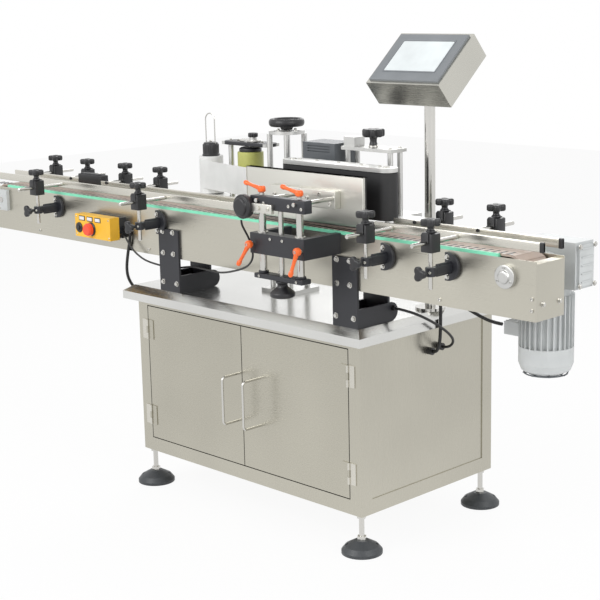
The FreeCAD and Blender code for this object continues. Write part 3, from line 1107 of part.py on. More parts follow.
def rewinder():
    """The waste rewinder: a roll of backing paper on a core with a black head and a pull-out wire."""
    low = "base_top + seat_gap"
    roll = rod("rewind_roll", f"rewind_cap_bottom - ({low})", "rewind_x", "head_middle", low)
    head = rod("rewind", "rewind_cap_height", "rewind_x", "head_middle", "rewind_cap_bottom")
    bore = rod("drum_shaft + running_play", f"rewind_cap_bottom + rewind_core_lap + rewind_core_room - ({low})",
               "rewind_x", "head_middle", low)
    top = "(rewind_cap_bottom + rewind_cap_height)"
    stud = nut("rewind_stud", "rewind_stud_height", "rewind_x", "head_middle", top)
    straight = "(rewind_pin_height - rewind_pin_half)"
    legs = [rod("rewind_pin", straight, x, "head_middle", top)
            for x in ("rewind_x - rewind_pin_half", "rewind_x + rewind_pin_half")]
    bow = bind(doc.addObject("Part::Torus", "Bow"), Radius1="rewind_pin_half", Radius2="rewind_pin")
    bow.Angle3 = 180
    put(bow, "rewind_x", "head_middle", f"{top} + {straight}", FACING_FRONT)
    node("rewinder", cut(fuse(roll, head, stud, bow, *legs), bore))


def label_web():
    """The backing paper stretched from the rewinder's roll to the peel edge."""
    corners = [("rewind_x", WEB_START), ("web_end_x", "web_end_y"), ("web_end_x", "web_end_y - web"),
               ("rewind_x", f"{WEB_START} - web")]
    web = prism("web", "XY_Plane", corners, "web_height")
    node("label_web", put(web, 0, 0, "web_bottom"))


def drive_block():
    """The belt drive's dark housing, standing on the base plate."""
    block = box("drive_block_width", "drive_block_depth", "drive_block_top - base_top", "drive_block_left",
                "drive_block_front", "base_top")
    slots = [box("drive_block_width - 2 * slot_margin", "slot_depth", "slot_height", "drive_block_left + slot_margin",
                 "drive_block_front", f"drive_block_top - {step + 1.5} * slot_pitch") for step in range(3)]
    node("belt_drive_housing", cut(block, *slots))


def star_knob():
    """The large star knob on the arm."""
    low = "arm_bottom + arm_thickness + seat_gap"
    neck = rod("star_neck", "star_lift", "star_x", "head_middle", low)
    grip = star("star_radius", "star_height", "star_radius * 0.36", "star_x", "head_middle", f"{low} + star_lift")
    node("star_knob", fuse(neck, grip))


# ---- touch panel --------------------------------------------------------------------------------

def panel_case():
    """The tilted stainless case, its bezel with the screen recess and the pole that carries it."""
    tilt = (Vector(1, 0, 0), SIZES["panel_tilt"])
    case = box("case_width", "case_height", "case_depth", "-case_width / 2", "-case_height / 2", "-case_depth")
    hollow = box("case_width - 2 * case_wall", "case_height - 2 * case_wall", "case_depth - 2 * case_wall",
                 "-case_width / 2 + case_wall", "-case_height / 2 + case_wall", "-case_depth + case_wall")
    tilted = put(group(cut(case, hollow)), "panel_x", "panel_y", "panel_z", tilt)
    node("panel_case", tilted)
    bezel = box("panel_width", "panel_height", "panel_lip", "-panel_width / 2", "-panel_height / 2", 0)
    recess = box("screen_width", "screen_height", "screen_recess", "-screen_width / 2", "-screen_height / 2 + screen_shift",
                 "panel_lip - screen_recess")
    node("touch_panel", put(group(cut(bezel, recess)), "panel_x", "panel_y", "panel_z", tilt))
    block = put(group(case), "panel_x", "panel_y", "panel_z", tilt)
    tube = rod("pole", "panel_z - worktop_top", "pole_x", "pole_y", "worktop_top")
    flange = rod("pole_flange", "pole_flange_thickness", "pole_x", "pole_y", "worktop_top")
    node("panel_pole", fuse(cut(tube, block), flange))


# ---- cable glands and leads ---------------------------------------------------------------------

def glands():
    """Glands on the cabinet's sides, the control box spacer, the right support and the terminal box."""
    wall = f"({HALF_WIDTH} - panel_inset)"
    spacer_end = "box_left + box_width - spacer_margin"
    support_end = "support_right_x + support_width / 2"
    terminal_end = "motor_x - motor_core - terminal_width + terminal_seat"
    small = ("small_gland", "small_gland_length")
    node("cable_glands",
         rod("gland", "gland_length", wall, 0, "cabinet_top - right_gland_drop", ALONG_X),
         rod("gland", "gland_length", wall, "gland_pitch", "cabinet_top - rear_gland_drop", ALONG_X),
         rod("gland", "gland_length", f"-{wall} - gland_length", "-left_gland_shift", "cabinet_top - left_gland_drop", ALONG_X),
         rod(*small, spacer_end, "conveyor_front - small_gland", "box_bottom + outer_outlet_rise", ALONG_X),
         rod(*small, spacer_end, "conveyor_front - inner_outlet_reach", "box_bottom + inner_outlet_rise", ALONG_X),
         rod(*small, support_end, "conveyor_back + detector_gland_reach", "worktop_top + detector_gland_rise", ALONG_X),
         rod("small_gland", "motor_gland_length", f"{terminal_end} - motor_gland_length", GEARBOX_MIDDLE,
             "terminal_bottom + terminal_height / 2", ALONG_X))


def lead(name, points, radius):
    """A lead along straight runs joined by tangent arcs as large as its two runs allow."""
    spots = [Vector(*point) for point in points]
    edges = []
    begin = spots[0]
    for i in range(1, len(spots) - 1):
        before = spots[i] - spots[i - 1]
        after = spots[i + 1] - spots[i]
        turn = before.getAngle(after)
        reach = 0.45 * min(before.Length, after.Length)
        bend = reach / math.tan(turn / 2)
        first = spots[i] - before.normalize() * reach
        last = spots[i] + after.normalize() * reach
        towards = (first + last) * 0.5 - spots[i]
        height = math.sqrt(bend ** 2 + reach ** 2) - bend
        middle = spots[i] + towards.normalize() * height
        edges.append(Part.LineSegment(begin, first).toShape())
        edges.append(Part.Arc(first, middle, last).toShape())
        begin = last
        print(f"{name} bend {i}: radius {bend:.0f} mm, turn {math.degrees(turn):.0f} degrees")
    edges.append(Part.LineSegment(begin, spots[-1]).toShape())
    path = Part.Wire(edges)
    circle = Part.Wire([Part.Circle(spots[0], spots[1] - spots[0], radius).toShape()])
    shape = path.makePipeShell([circle], True, False)
    thing = doc.addObject("Part::Feature", "Lead")
    thing.Shape = shape
    expected = math.pi * radius ** 2 * path.Length
    print(f"{name} length {path.Length:.0f} mm, volume over section times length {shape.Volume / expected:.4f}")
    node(name, thing)


def leads():
    """Every lead that the machine holds at both ends."""
    glands()
    lead("control_lead",
         [(-539, -308, 862.5), (-526, -308, 862.5), (-519, -308, 848), (-522, -307, 827), (-532, -306, 800),
          (-543, -305, 765), (-551, -304, 728), (-554, -298, 696), (-555, -282, 668), (-557, -256, 640),
          (-556, -228, 618), (-547, -209, 606), (-532, -200, 600), (-515, -200, 600)],
         SIZES["thick_lead"])
    lead("sensor_lead",
         [(-539, -322, 840), (-529, -322, 840), (-517, -322, 826), (-500, -321, 806), (-475, -320, 788),
          (-437, -314, 768), (-390, -290, 754), (-323, -285, 752), (-243, -285, 768), (-180, -302, 773),
          (-105, -322, 776), (-35, -348, 783), (30, -373, 796), (85, -394, 810), (135, -408, 824),
          (178, -419, 842), (203, -425, 868), (203, -428, 895), (196, -432, 923), (190, -444, 950),
          (190, -455, 968), (190, -455, 980)],
         SIZES["thin_lead"])
    lead("motor_lead",
         [(836, -85, 707), (806, -85, 707), (762, -88, 718), (708, -96, 742), (655, -100, 772),
          (610, -86, 798), (575, -55, 806), (553, -20, 796), (543, 0, 765), (541, 5, 715), (541, 5, 670),
          (541, 4, 630), (541, 2, 600), (537, 1, 576), (527, 0, 560), (515, 0, 560)],
         SIZES["thick_lead"])
    lead("detector_lead",
         [(510, -158, 717), (522, -158, 717), (538, -146, 712), (551, -128, 704), (559, -104, 692),
          (563, -76, 677), (565, -46, 660), (566, -16, 641), (565, 14, 620), (560, 38, 600),
          (550, 52, 583), (537, 54, 570), (526, 46, 566), (515, 46, 566)],
         SIZES["middle_lead"])


# ---- build, check and write ---------------------------------------------------------------------

for make in (cabinet_frame, cabinet_panels, worktop, feet, doors, conveyor_frame, wear_strips, chain, shafts,
             bearing_flanges, supports, gearbox, motor, control_box, rails, press_bracket, press_posts,
             press_screw, pressure_plate, clamp_levers, bottle_sensor, head_column, lift_wheel, head_frame,
             wrap_belt, feed_drum, rewinder, label_web, drive_block, star_knob, panel_case, leads):
    make()

doc.recompute()
for thing in doc.Objects:
    if "Invalid" in thing.State or "Error" in thing.State:
        raise RuntimeError(f"{thing.Label} did not build: {thing.State}")
os.makedirs("parts", exist_ok=True)
whole = FreeCAD.BoundBox()
for part in NODES:
    if part.Shape.isNull() or not part.Shape.isValid() or not part.Shape.Solids:
        raise RuntimeError(f"{part.Label} has no valid shape")
    whole.add(part.Shape.BoundBox)
for part in NODES:
    part.Shape.exportStep(f"parts/{part.Label}.step")
print(f"{len(NODES)} sub-parts, box {whole}")
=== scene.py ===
# %% [markdown]
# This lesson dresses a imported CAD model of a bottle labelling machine. The CAD model fixes where each
# piece is and how it moves. The cells below give every piece its finish, and rebuild with soft edges
# and small details the ones whose plain solids would look too simple close up.

# %% load the fixed frame
import json
import math

import bmesh
import bpy
import numpy as np
from mathutils import Matrix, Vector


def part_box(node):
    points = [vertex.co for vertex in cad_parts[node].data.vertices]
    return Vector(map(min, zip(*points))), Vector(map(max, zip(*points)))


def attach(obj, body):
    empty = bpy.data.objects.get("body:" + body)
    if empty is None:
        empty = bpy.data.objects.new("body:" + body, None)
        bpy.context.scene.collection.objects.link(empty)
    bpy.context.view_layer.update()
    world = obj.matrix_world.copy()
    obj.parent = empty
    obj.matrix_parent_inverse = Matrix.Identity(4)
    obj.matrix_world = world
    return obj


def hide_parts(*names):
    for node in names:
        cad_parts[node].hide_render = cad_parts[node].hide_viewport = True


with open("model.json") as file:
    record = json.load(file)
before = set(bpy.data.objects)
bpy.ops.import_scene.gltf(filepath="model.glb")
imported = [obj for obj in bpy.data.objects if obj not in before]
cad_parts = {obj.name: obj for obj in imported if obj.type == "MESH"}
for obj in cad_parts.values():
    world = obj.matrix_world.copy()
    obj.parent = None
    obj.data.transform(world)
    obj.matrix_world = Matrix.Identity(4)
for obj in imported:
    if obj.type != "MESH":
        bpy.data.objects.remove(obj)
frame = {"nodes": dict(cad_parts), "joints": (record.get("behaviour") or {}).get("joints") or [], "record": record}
nodes = frame["nodes"]
joints = {joint["name"]: joint for joint in frame["joints"]}
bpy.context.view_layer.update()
cabinet_low, cabinet_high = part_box("cabinet_frame")
MIDDLE = np.array([(cabinet_low[0] + cabinet_high[0]) / 2, (cabinet_low[1] + cabinet_high[1]) / 2, 0.0])
print("nodes", len(nodes), "cabinet middle", MIDDLE.round(3))

# %% [markdown]
# The machine is drawn in millimetres from the middle of its cabinet, because that is how its drawings
# would give sizes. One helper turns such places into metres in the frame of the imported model.

# %% places in millimetres from the cabinet's middle
def to_frame(points):
    """Millimetres from the cabinet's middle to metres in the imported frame: divide, then add the middle."""
    return np.asarray(points, float) / 1000 + MIDDLE


def span(node):
    """A node's low and high corner in millimetres from the cabinet's middle."""
    low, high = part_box(node)
    return (np.array(low) - MIDDLE) * 1000, (np.array(high) - MIDDLE) * 1000


def pivot(joint):
    """A joint's place in millimetres from the cabinet's middle."""
    return (np.array(joints[joint]["pos_m"]) - MIDDLE) * 1000


# %% [markdown]
# The camera stands to the right of the operator's side, a little above the panel, and looks slightly
# down. A long lens keeps the conveyor's two ends in calm proportion.

# %% camera
CAMERA_PLACE = (3217.3, -3185.4, 1616.7)
CAMERA_YAW = 0.79715855
CAMERA_PITCH = 0.21121562
CAMERA_ROLL = -0.02205765
CAMERA_LENS = 86.753


def camera_axes(yaw, pitch, roll):
    """Right, up and back axes: back from yaw and pitch, then right and up turned about it by the roll."""
    back = np.array([math.sin(yaw) * math.cos(pitch), -math.cos(yaw) * math.cos(pitch), math.sin(pitch)])
    right = np.cross([0, 0, 1], back)
    right /= np.linalg.norm(right)
    up = np.cross(back, right)
    turned_right = math.cos(roll) * right + math.sin(roll) * up
    turned_up = -math.sin(roll) * right + math.cos(roll) * up
    return turned_right, turned_up, back


camera_data = bpy.data.cameras.new("camera")
camera_data.lens = CAMERA_LENS
camera_data.sensor_width = 36.0
camera_data.clip_end = 60.0
camera = bpy.data.objects.new("camera", camera_data)
bpy.context.scene.collection.objects.link(camera)
axes = camera_axes(CAMERA_YAW, CAMERA_PITCH, CAMERA_ROLL)
pose = np.eye(4)
pose[:3, :3] = np.stack(axes, axis=1)
pose[:3, 3] = to_frame(CAMERA_PLACE)
camera.matrix_world = Matrix(pose.tolist())
bpy.context.scene.camera = camera
bpy.context.scene.view_settings.view_transform = "Standard"
print("camera at", pose[:3, 3].round(3))

# %% [markdown]
# A finish is a small node graph. Brushed steel is bare metal whose roughness and fine relief are drawn
# out along the direction of brushing, so the noise that drives them is squeezed across that direction.
# Moulded plastic has a fine grain, and cast or painted metal a slightly uneven skin.

# %% helpers for node graphs
def new_material(name):
    """A material with an empty Principled shader, and the tools to add nodes to it."""
    material = bpy.data.materials.new(name)
    material.use_nodes = True
    tree = material.node_tree
    return material, tree, tree.nodes["Principled BSDF"]


def scaled_place(tree, scale):
    """The object's own coordinates, stretched by a scale for each axis."""
    place = tree.nodes.new("ShaderNodeTexCoord")
    mapping = tree.nodes.new("ShaderNodeMapping")
    mapping.inputs["Scale"].default_value = scale
    tree.links.new(place.outputs["Object"], mapping.inputs["Vector"])
    return mapping.outputs["Vector"]


def noise(tree, place, scale, detail=3.0):
    """A soft random value at each place; the scale is the number of bumps to a unit of the place."""
    node = tree.nodes.new("ShaderNodeTexNoise")
    node.inputs["Scale"].default_value = scale
    node.inputs["Detail"].default_value = detail
    tree.links.new(place, node.inputs["Vector"])
    return node.outputs["Fac"]


def ranged(tree, value, low, high):
    """A noise value carried to a range from low to high."""
    node = tree.nodes.new("ShaderNodeMapRange")
    node.inputs["From Min"].default_value = 0.3
    node.inputs["From Max"].default_value = 0.7
    node.inputs["To Min"].default_value = low
    node.inputs["To Max"].default_value = high
    tree.links.new(value, node.inputs["Value"])
    return node.outputs["Result"]


def tinted(tree, value, dark, light):
    """A colour between dark and light, by a noise value."""
    node = tree.nodes.new("ShaderNodeMix")
    node.data_type = "RGBA"
    node.inputs["A"].default_value = (*dark, 1)
    node.inputs["B"].default_value = (*light, 1)
    tree.links.new(ranged(tree, value, 0, 1), node.inputs["Factor"])
    return node.outputs["Result"]


def relief(tree, shader, value, strength, distance):
    """A value used as a height: the shader's normal leans against its slope."""
    node = tree.nodes.new("ShaderNodeBump")
    node.inputs["Strength"].default_value = strength
    node.inputs["Distance"].default_value = distance
    tree.links.new(value, node.inputs["Height"])
    tree.links.new(node.outputs["Normal"], shader.inputs["Normal"])


def shade(colour, factor):
    """A colour times a factor, each channel held at one."""
    return tuple(min(1.0, channel * factor) for channel in colour)


print("helpers for node graphs are ready")

# %% [markdown]
# Two kinds of finish cover the whole machine, so each is one function. Brushed metal takes the direction of
# its brushing as a scale for each axis, and a moulded or painted skin takes the size of its grain.

# %% helpers for the finishes
def brushed(name, colour, rough, grain, strength=0.12):
    """Bare metal, brushed along the axis whose grain scale is small."""
    material, tree, shader = new_material(name)
    fine = noise(tree, scaled_place(tree, grain), 1.0, 4.0)
    cloudy = noise(tree, scaled_place(tree, (2.2, 2.2, 2.2)), 1.0, 2.0)
    shader.inputs["Metallic"].default_value = 1.0
    tone = tinted(tree, cloudy, shade(colour, 0.93), shade(colour, 1.05))
    tree.links.new(tone, shader.inputs["Base Color"])
    tree.links.new(ranged(tree, fine, rough - 0.06, rough + 0.08), shader.inputs["Roughness"])
    relief(tree, shader, fine, strength, 0.0003)
    return material


def moulded(name, colour, rough, grain=900.0, strength=0.15, metallic=0.0):
    """A coloured skin with a fine grain and slightly uneven tone."""
    material, tree, shader = new_material(name)
    fine = noise(tree, scaled_place(tree, (grain, grain, grain)), 1.0, 2.0)
    cloudy = noise(tree, scaled_place(tree, (9.0, 9.0, 9.0)), 1.0, 3.0)
    shader.inputs["Metallic"].default_value = metallic
    tree.links.new(tinted(tree, cloudy, shade(colour, 0.9), shade(colour, 1.1)), shader.inputs["Base Color"])
    tree.links.new(ranged(tree, fine, rough - 0.05, rough + 0.05), shader.inputs["Roughness"])
    relief(tree, shader, fine, strength, 0.0002)
    return material


print("helpers for finishes are ready")

# %% [markdown]
# Colours are those of the clean material under white light. Cabinet and conveyor are warm, because the
# sheet has a satin brush that scatters the room, and the bars and rods are bright because they are polished.

# %% the machine's finishes
ALL_WAYS = (500.0, 500.0, 500.0)
cabinet_steel = brushed("cabinet_steel", (0.52, 0.50, 0.43), 0.30, (900.0, 900.0, 12.0))
door_steel = brushed("door_steel", (0.50, 0.48, 0.41), 0.28, (14.0, 900.0, 900.0))
top_steel = brushed("top_steel", (0.70, 0.70, 0.68), 0.20, (10.0, 800.0, 800.0), 0.06)
conveyor_steel = brushed("conveyor_steel", (0.55, 0.53, 0.46), 0.32, (8.0, 900.0, 900.0))
rail_steel = brushed("rail_steel", (0.66, 0.64, 0.58), 0.26, (8.0, 900.0, 900.0))
bright_steel = brushed("bright_steel", (0.62, 0.61, 0.58), 0.16, ALL_WAYS, 0.03)
case_steel = brushed("case_steel", (0.58, 0.57, 0.52), 0.26, (12.0, 900.0, 900.0))
clear_aluminium = brushed("clear_aluminium", (0.60, 0.60, 0.585), 0.38, (30.0, 600.0, 600.0), 0.08)
plate_aluminium = brushed("plate_aluminium", (0.66, 0.65, 0.60), 0.34, (10.0, 700.0, 700.0), 0.08)
black_plastic = moulded("black_plastic", (0.018, 0.018, 0.020), 0.38)
black_coat = moulded("black_coat", (0.020, 0.021, 0.026), 0.42, 1500.0, 0.1)
grey_cast = moulded("grey_cast", (0.56, 0.58, 0.58), 0.45, 350.0, 0.3)
dark_cast = moulded("dark_cast", (0.10, 0.11, 0.12), 0.42, 350.0, 0.3)
yellow_coat = moulded("yellow_coat", (0.90, 0.50, 0.035), 0.34, 500.0, 0.1)
orange_plastic = moulded("orange_plastic", (0.92, 0.15, 0.025), 0.32)
red_plastic = moulded("red_plastic", (0.86, 0.08, 0.03), 0.30)
green_plastic = moulded("green_plastic", (0.22, 0.72, 0.48), 0.35)
chain_plastic = moulded("chain_plastic", (0.50, 0.40, 0.34), 0.45)
belt_rubber = moulded("belt_rubber", (0.022, 0.022, 0.023), 0.62, 700.0, 0.35)
drum_rubber = moulded("drum_rubber", (0.50, 0.51, 0.15), 0.36, 600.0, 0.15)
web_paper = moulded("web_paper", (0.76, 0.76, 0.755), 0.55, 1200.0, 0.1)
lead_rubber = moulded("lead_rubber", (0.010, 0.010, 0.010), 0.45, 900.0, 0.15)
bezel_plastic = moulded("bezel_plastic", (0.21, 0.225, 0.24), 0.40, 900.0, 0.1)
glass_screen = moulded("glass_screen", (0.78, 0.83, 0.84), 0.12, 40.0, 0.0)
pad_plastic = moulded("pad_plastic", (0.05, 0.055, 0.06), 0.45, 600.0, 0.2)
print("finishes", len(bpy.data.materials))

# %% [markdown]
# Every new piece starts as a surface worked out over a grid of two parameters. A turned part carries a
# profile round an axis, a plate carries an outline up a stack of levels, and a bent part carries a ring
# along a path. The helpers below return points and faces, so that several forms can join in one mesh.

# %% helpers for surfaces
def skin(points, wrap=True):
    """Quads between neighbours of a grid of points; the last column meets the first when it wraps."""
    rows, columns = points.shape[:2]
    row = np.arange(rows - 1)[:, None]
    column = np.arange(columns if wrap else columns - 1)[None, :]
    following = (column + 1) % columns
    faces = np.stack([row * columns + column, row * columns + following,
                      (row + 1) * columns + following, (row + 1) * columns + column], axis=-1)
    return points.reshape(-1, 3), faces.reshape(-1, 4).tolist()


def joined(*forms):
    """Several point and face sets as one: each form's face numbers are raised by the points before it."""
    points = np.concatenate([form[0] for form in forms])
    starts = np.cumsum([0] + [len(form[0]) for form in forms[:-1]])
    faces = [[int(start) + corner for corner in face]
             for form, start in zip(forms, starts) for face in form[1]]
    return points, faces


def moved(form, x=0.0, y=0.0, z=0.0):
    """A form carried by a distance along each axis."""
    return form[0] + np.array([x, y, z], float), form[1]


def turn(form, axis, degrees):
    """A form turned about an axis through the origin: Rodrigues' formula on all points at once."""
    axis = np.asarray(axis, float) / np.linalg.norm(axis)
    angle = math.radians(degrees)
    points = form[0]
    along = points @ axis
    points = (points * math.cos(angle) + np.cross(axis, points) * math.sin(angle)
              + along[:, None] * axis * (1 - math.cos(angle)))
    return points, form[1]


def flipped(form, axis):
    """A mirrored form; its faces are reversed so that they still point outwards."""
    points = form[0].copy()
    points[:, axis] *= -1
    return points, [face[::-1] for face in form[1]]


def repeated(form, places):
    """The same form at every place."""
    return joined(*[moved(form, *place) for place in places])


print("a flat grid of 3 by 4 points has", len(skin(np.zeros((3, 4, 3)))[1]), "faces round it")


# %% [markdown]
# Turned parts, plates and bent bars cover nearly every shape on a machine. Each helper takes the few numbers
# that a drawing would give, and closes its own ends, so that nothing is left open.

# %% turned parts, plates and blocks
def softened(corners, radius, steps=4):
    """An open profile whose inner corners become arcs that touch both neighbours.

    At each corner the arc is a quadratic curve from a point on one side, through the corner's pull, to a
    point on the other side: (1 - t)^2 a + 2 t (1 - t) c + t^2 b.
    """
    corners = np.asarray(corners, float)
    before = corners[:-2] - corners[1:-1]
    after = corners[2:] - corners[1:-1]
    size_before = np.linalg.norm(before, axis=1, keepdims=True)
    size_after = np.linalg.norm(after, axis=1, keepdims=True)
    reach = np.minimum(np.minimum(size_before, size_after) * 0.45, radius)
    start = corners[1:-1] + before / size_before * reach
    end = corners[1:-1] + after / size_after * reach
    t = np.linspace(0, 1, steps + 1)[None, :, None]
    arcs = (1 - t) ** 2 * start[:, None] + 2 * t * (1 - t) * corners[1:-1, None] + t ** 2 * end[:, None]
    return np.concatenate([corners[:1], arcs.reshape(-1, corners.shape[1]), corners[-1:]])


def lathe(profile, radius=0.0, sides=40):
    """A turned part: every profile point (r, z) goes round as (r cos a, r sin a, z)."""
    profile = softened(profile, radius) if radius else np.asarray(profile, float)
    angle = np.linspace(0, 2 * np.pi, sides, endpoint=False)
    ring = np.stack([np.cos(angle), np.sin(angle)], axis=-1)
    wall = profile[:, None, :1] * ring[None]
    level = np.repeat(profile[:, None, 1:], sides, 1)
    return skin(np.concatenate([wall, level], axis=2))


def bar(radius, low, high, bevel=0.8, sides=28):
    """A round bar along Z with its rims broken by a small bevel."""
    return lathe([(0, low), (radius - bevel, low), (radius, low + bevel), (radius, high - bevel),
                  (radius - bevel, high), (0, high)], sides=sides)


def inset(outline, distance):
    """A closed outline moved inwards: each point goes along the mean of its two edges' normals."""
    edge = np.roll(outline, -1, 0) - outline
    edge /= np.maximum(np.linalg.norm(edge, axis=1, keepdims=True), 1e-9)
    normal = np.stack([-edge[:, 1], edge[:, 0]], axis=1)
    mean = normal + np.roll(normal, 1, 0)
    mean /= np.maximum(np.linalg.norm(mean, axis=1, keepdims=True), 1e-9)
    cosine = np.maximum(np.sum(mean * normal, axis=1, keepdims=True), 0.35)
    return outline + mean * distance / cosine


def plate(outline, low, high, bevel=1.0, steps=3):
    """A plate from an anticlockwise outline: levels near each face draw in along a quarter circle."""
    outline = np.asarray(outline, float)
    angle = np.linspace(0, np.pi / 2, steps + 1)
    draw = np.concatenate([bevel * (1 - np.sin(angle)), bevel * (1 - np.cos(angle))])
    level = np.concatenate([low + bevel * (1 - np.cos(angle)), high - bevel * (1 - np.sin(angle))])
    rings = [np.column_stack([inset(outline, amount), np.full(len(outline), height)])
             for amount, height in zip(draw, level)]
    points, faces = skin(np.stack(rings))
    count = len(outline)
    last = (len(rings) - 1) * count
    return points, faces + [list(range(count))[::-1], list(range(last, last + count))]


def rectangle(low_x, high_x, low_y, high_y, radius, steps=5):
    """An anticlockwise rectangle whose corners are quarter circles."""
    angle = np.linspace(0, np.pi / 2, steps + 1)
    centres = np.array([(high_x - radius, low_y + radius), (high_x - radius, high_y - radius),
                        (low_x + radius, high_y - radius), (low_x + radius, low_y + radius)])
    starts = np.array([-np.pi / 2, 0, np.pi / 2, np.pi])
    a = starts[:, None] + angle[None]
    return (centres[:, None] + radius * np.stack([np.cos(a), np.sin(a)], axis=-1)).reshape(-1, 2)


def block(low, high, bevel=1.5, corner=None):
    """A block with rounded edges, standing along Z."""
    corner = bevel if corner is None else corner
    return plate(rectangle(low[0], high[0], low[1], high[1], corner), low[2], high[2], bevel)


def polygon(radius, sides, turned_by=0.0):
    """Points spaced evenly round a circle: (r cos a, r sin a)."""
    angle = np.linspace(0, 2 * np.pi, sides, endpoint=False) + math.radians(turned_by)
    return np.stack([radius * np.cos(angle), radius * np.sin(angle)], axis=1)


print("a bar has", len(bar(6, 0, 40)[0]), "points")


# %% [markdown]
# A grip's outline swings in and out round its circle, and a bent rod or a lever's arm is a ring carried
# along a path. Screws come last, because they are made from the turned part and the plate.

# %% grips, bent bars and screws
def lobed(radius, lobes, depth, sharp=1.0, sides=96):
    """A grip's outline: the radius dips by a depth between lobes, r = R - d (1 - |cos(n a / 2)|^sharp)."""
    angle = np.linspace(0, 2 * np.pi, sides, endpoint=False)
    dip = 1 - np.abs(np.cos(lobes * angle / 2)) ** sharp
    reach = radius - depth * dip
    return np.stack([reach * np.cos(angle), reach * np.sin(angle)], axis=1)


def swept(path, radii, sides=20, across=(0.0, 0.0, 1.0)):
    """A round section carried along a path, with its own radius at every point and closed ends.

    The section's axes are the path's tangent crossed with a fixed direction, and that crossed again.
    """
    path = np.asarray(path, float)
    radii = np.broadcast_to(np.asarray(radii, float), len(path))
    tangent = np.gradient(path, axis=0)
    tangent /= np.linalg.norm(tangent, axis=1, keepdims=True)
    first = np.cross(tangent, across)
    first /= np.linalg.norm(first, axis=1, keepdims=True)
    second = np.cross(tangent, first)
    angle = np.linspace(0, 2 * np.pi, sides, endpoint=False)
    ring = (np.cos(angle)[None, :, None] * first[:, None] + np.sin(angle)[None, :, None] * second[:, None])
    points = path[:, None] + radii[:, None, None] * ring
    ends = [np.repeat(path[:1, None], sides, 1), np.repeat(path[-1:, None], sides, 1)]
    return skin(np.concatenate([ends[0], points, ends[1]]))


def along_y(form):
    """Lay a form that stands along Z on its side, so that its top looks towards the operator."""
    return turn(form, (1, 0, 0), 90)


def along_x(form):
    """Lay a form that stands along Z on its side, so that its top looks along X."""
    return turn(form, (0, 1, 0), 90)


def socket_screw(radius=4.5, height=5.0):
    """A cap screw's head along Z: a short drum with a bevelled rim and a socket that narrows."""
    sides, bevel, socket_depth = 20, 0.7, 2.2
    mouth = radius * 0.55
    side = [(radius, 0), (radius, height - bevel), (radius - bevel, height), (mouth, height)]
    head = lathe(side, sides=sides)
    rim = np.column_stack([polygon(mouth, sides), np.full(sides, height)])
    bottom = np.column_stack([polygon(radius * 0.5, sides), np.full(sides, height - socket_depth)])
    foot = np.column_stack([polygon(radius, sides), np.zeros(sides)])
    ring = list(range(sides))
    return joined(head, skin(np.stack([rim, bottom])), (bottom, [ring]), (foot, [ring[::-1]]))


def hex_head(radius=6.0, height=5.0):
    """A hexagon bolt head on a thin washer."""
    return joined(bar(radius * 1.35, 0, 1.2, 0.3, 24), plate(polygon(radius, 6), 1.2, 1.2 + height, 0.6, 1))


print("a screw's head has", len(socket_screw()[0]), "points")

# %% [markdown]
# Every piece ends the same way: its forms become one mesh in metres, doubled points at seams and poles are
# merged, the faces are turned outwards, edges sharper than an angle stay crisp, and the piece is told which
# body carries it.

# %% helper that makes a finished piece
def piece(name, body, slot, material, *forms, replaces=(), angle=35.0):
    """Join forms, close their seams, point the faces outwards, and hand the mesh to a body."""
    points, faces = joined(*forms)
    mesh = bpy.data.meshes.new(name)
    mesh.from_pydata(to_frame(points).tolist(), [], faces)
    work = bmesh.new()
    work.from_mesh(mesh)
    bmesh.ops.remove_doubles(work, verts=work.verts, dist=2e-6)
    bmesh.ops.dissolve_degenerate(work, edges=work.edges, dist=1e-6)
    bmesh.ops.recalc_face_normals(work, faces=work.faces)
    work.to_mesh(mesh)
    work.free()
    mesh.polygons.foreach_set("use_smooth", np.ones(len(mesh.polygons), bool))
    mesh.set_sharp_from_angle(angle=math.radians(angle))
    mesh.materials.append(material)
    thing = bpy.data.objects.new(name, mesh)
    bpy.context.scene.collection.objects.link(thing)
    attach(thing, body)
    if replaces:
        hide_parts(*replaces)
    return thing

# %% [markdown]
# A machine like this is shown in a white studio: large soft lamps, a pale floor that fades into
# a white backdrop, and only soft shadows under the feet. Bare steel shows what stands round it, so the
# surroundings are white for the camera and for reflections, and a calmer grey for light on surfaces.

# %% world, lamps and floor
WHITE = 1.0
LIGHT_OF_ROOM = 0.55
FLOOR_GLOW = 0.92
FLOOR_HALF = 9.0
FLOOR_LEVEL = -0.0006


def white_for_camera(tree, plain, white, output, socket):
    """Mix a plain shader with a white one wherever the camera, a reflection or a clear view looks."""
    path = tree.nodes.new("ShaderNodeLightPath")
    either = tree.nodes.new("ShaderNodeMath")
    either.operation = "MAXIMUM"
    tree.links.new(path.outputs["Is Camera Ray"], either.inputs[0])
    tree.links.new(path.outputs["Is Glossy Ray"], either.inputs[1])
    any_view = tree.nodes.new("ShaderNodeMath")
    any_view.operation = "MAXIMUM"
    tree.links.new(either.outputs[0], any_view.inputs[0])
    tree.links.new(path.outputs["Is Transmission Ray"], any_view.inputs[1])
    mix = tree.nodes.new("ShaderNodeMixShader")
    tree.links.new(any_view.outputs[0], mix.inputs["Fac"])
    tree.links.new(plain, mix.inputs[1])
    tree.links.new(white, mix.inputs[2])
    tree.links.new(mix.outputs[0], output.inputs[socket])
    return mix


world = bpy.data.worlds.new("studio")
bpy.context.scene.world = world
world.use_nodes = True
tree = world.node_tree
dim = tree.nodes["Background"]
dim.inputs["Color"].default_value = (1.0, 1.0, 1.0, 1)
dim.inputs["Strength"].default_value = LIGHT_OF_ROOM
clear = tree.nodes.new("ShaderNodeBackground")
clear.inputs["Color"].default_value = (1.0, 1.0, 1.0, 1)
clear.inputs["Strength"].default_value = WHITE
white_for_camera(tree, dim.outputs[0], clear.outputs[0], tree.nodes["World Output"], "Surface")


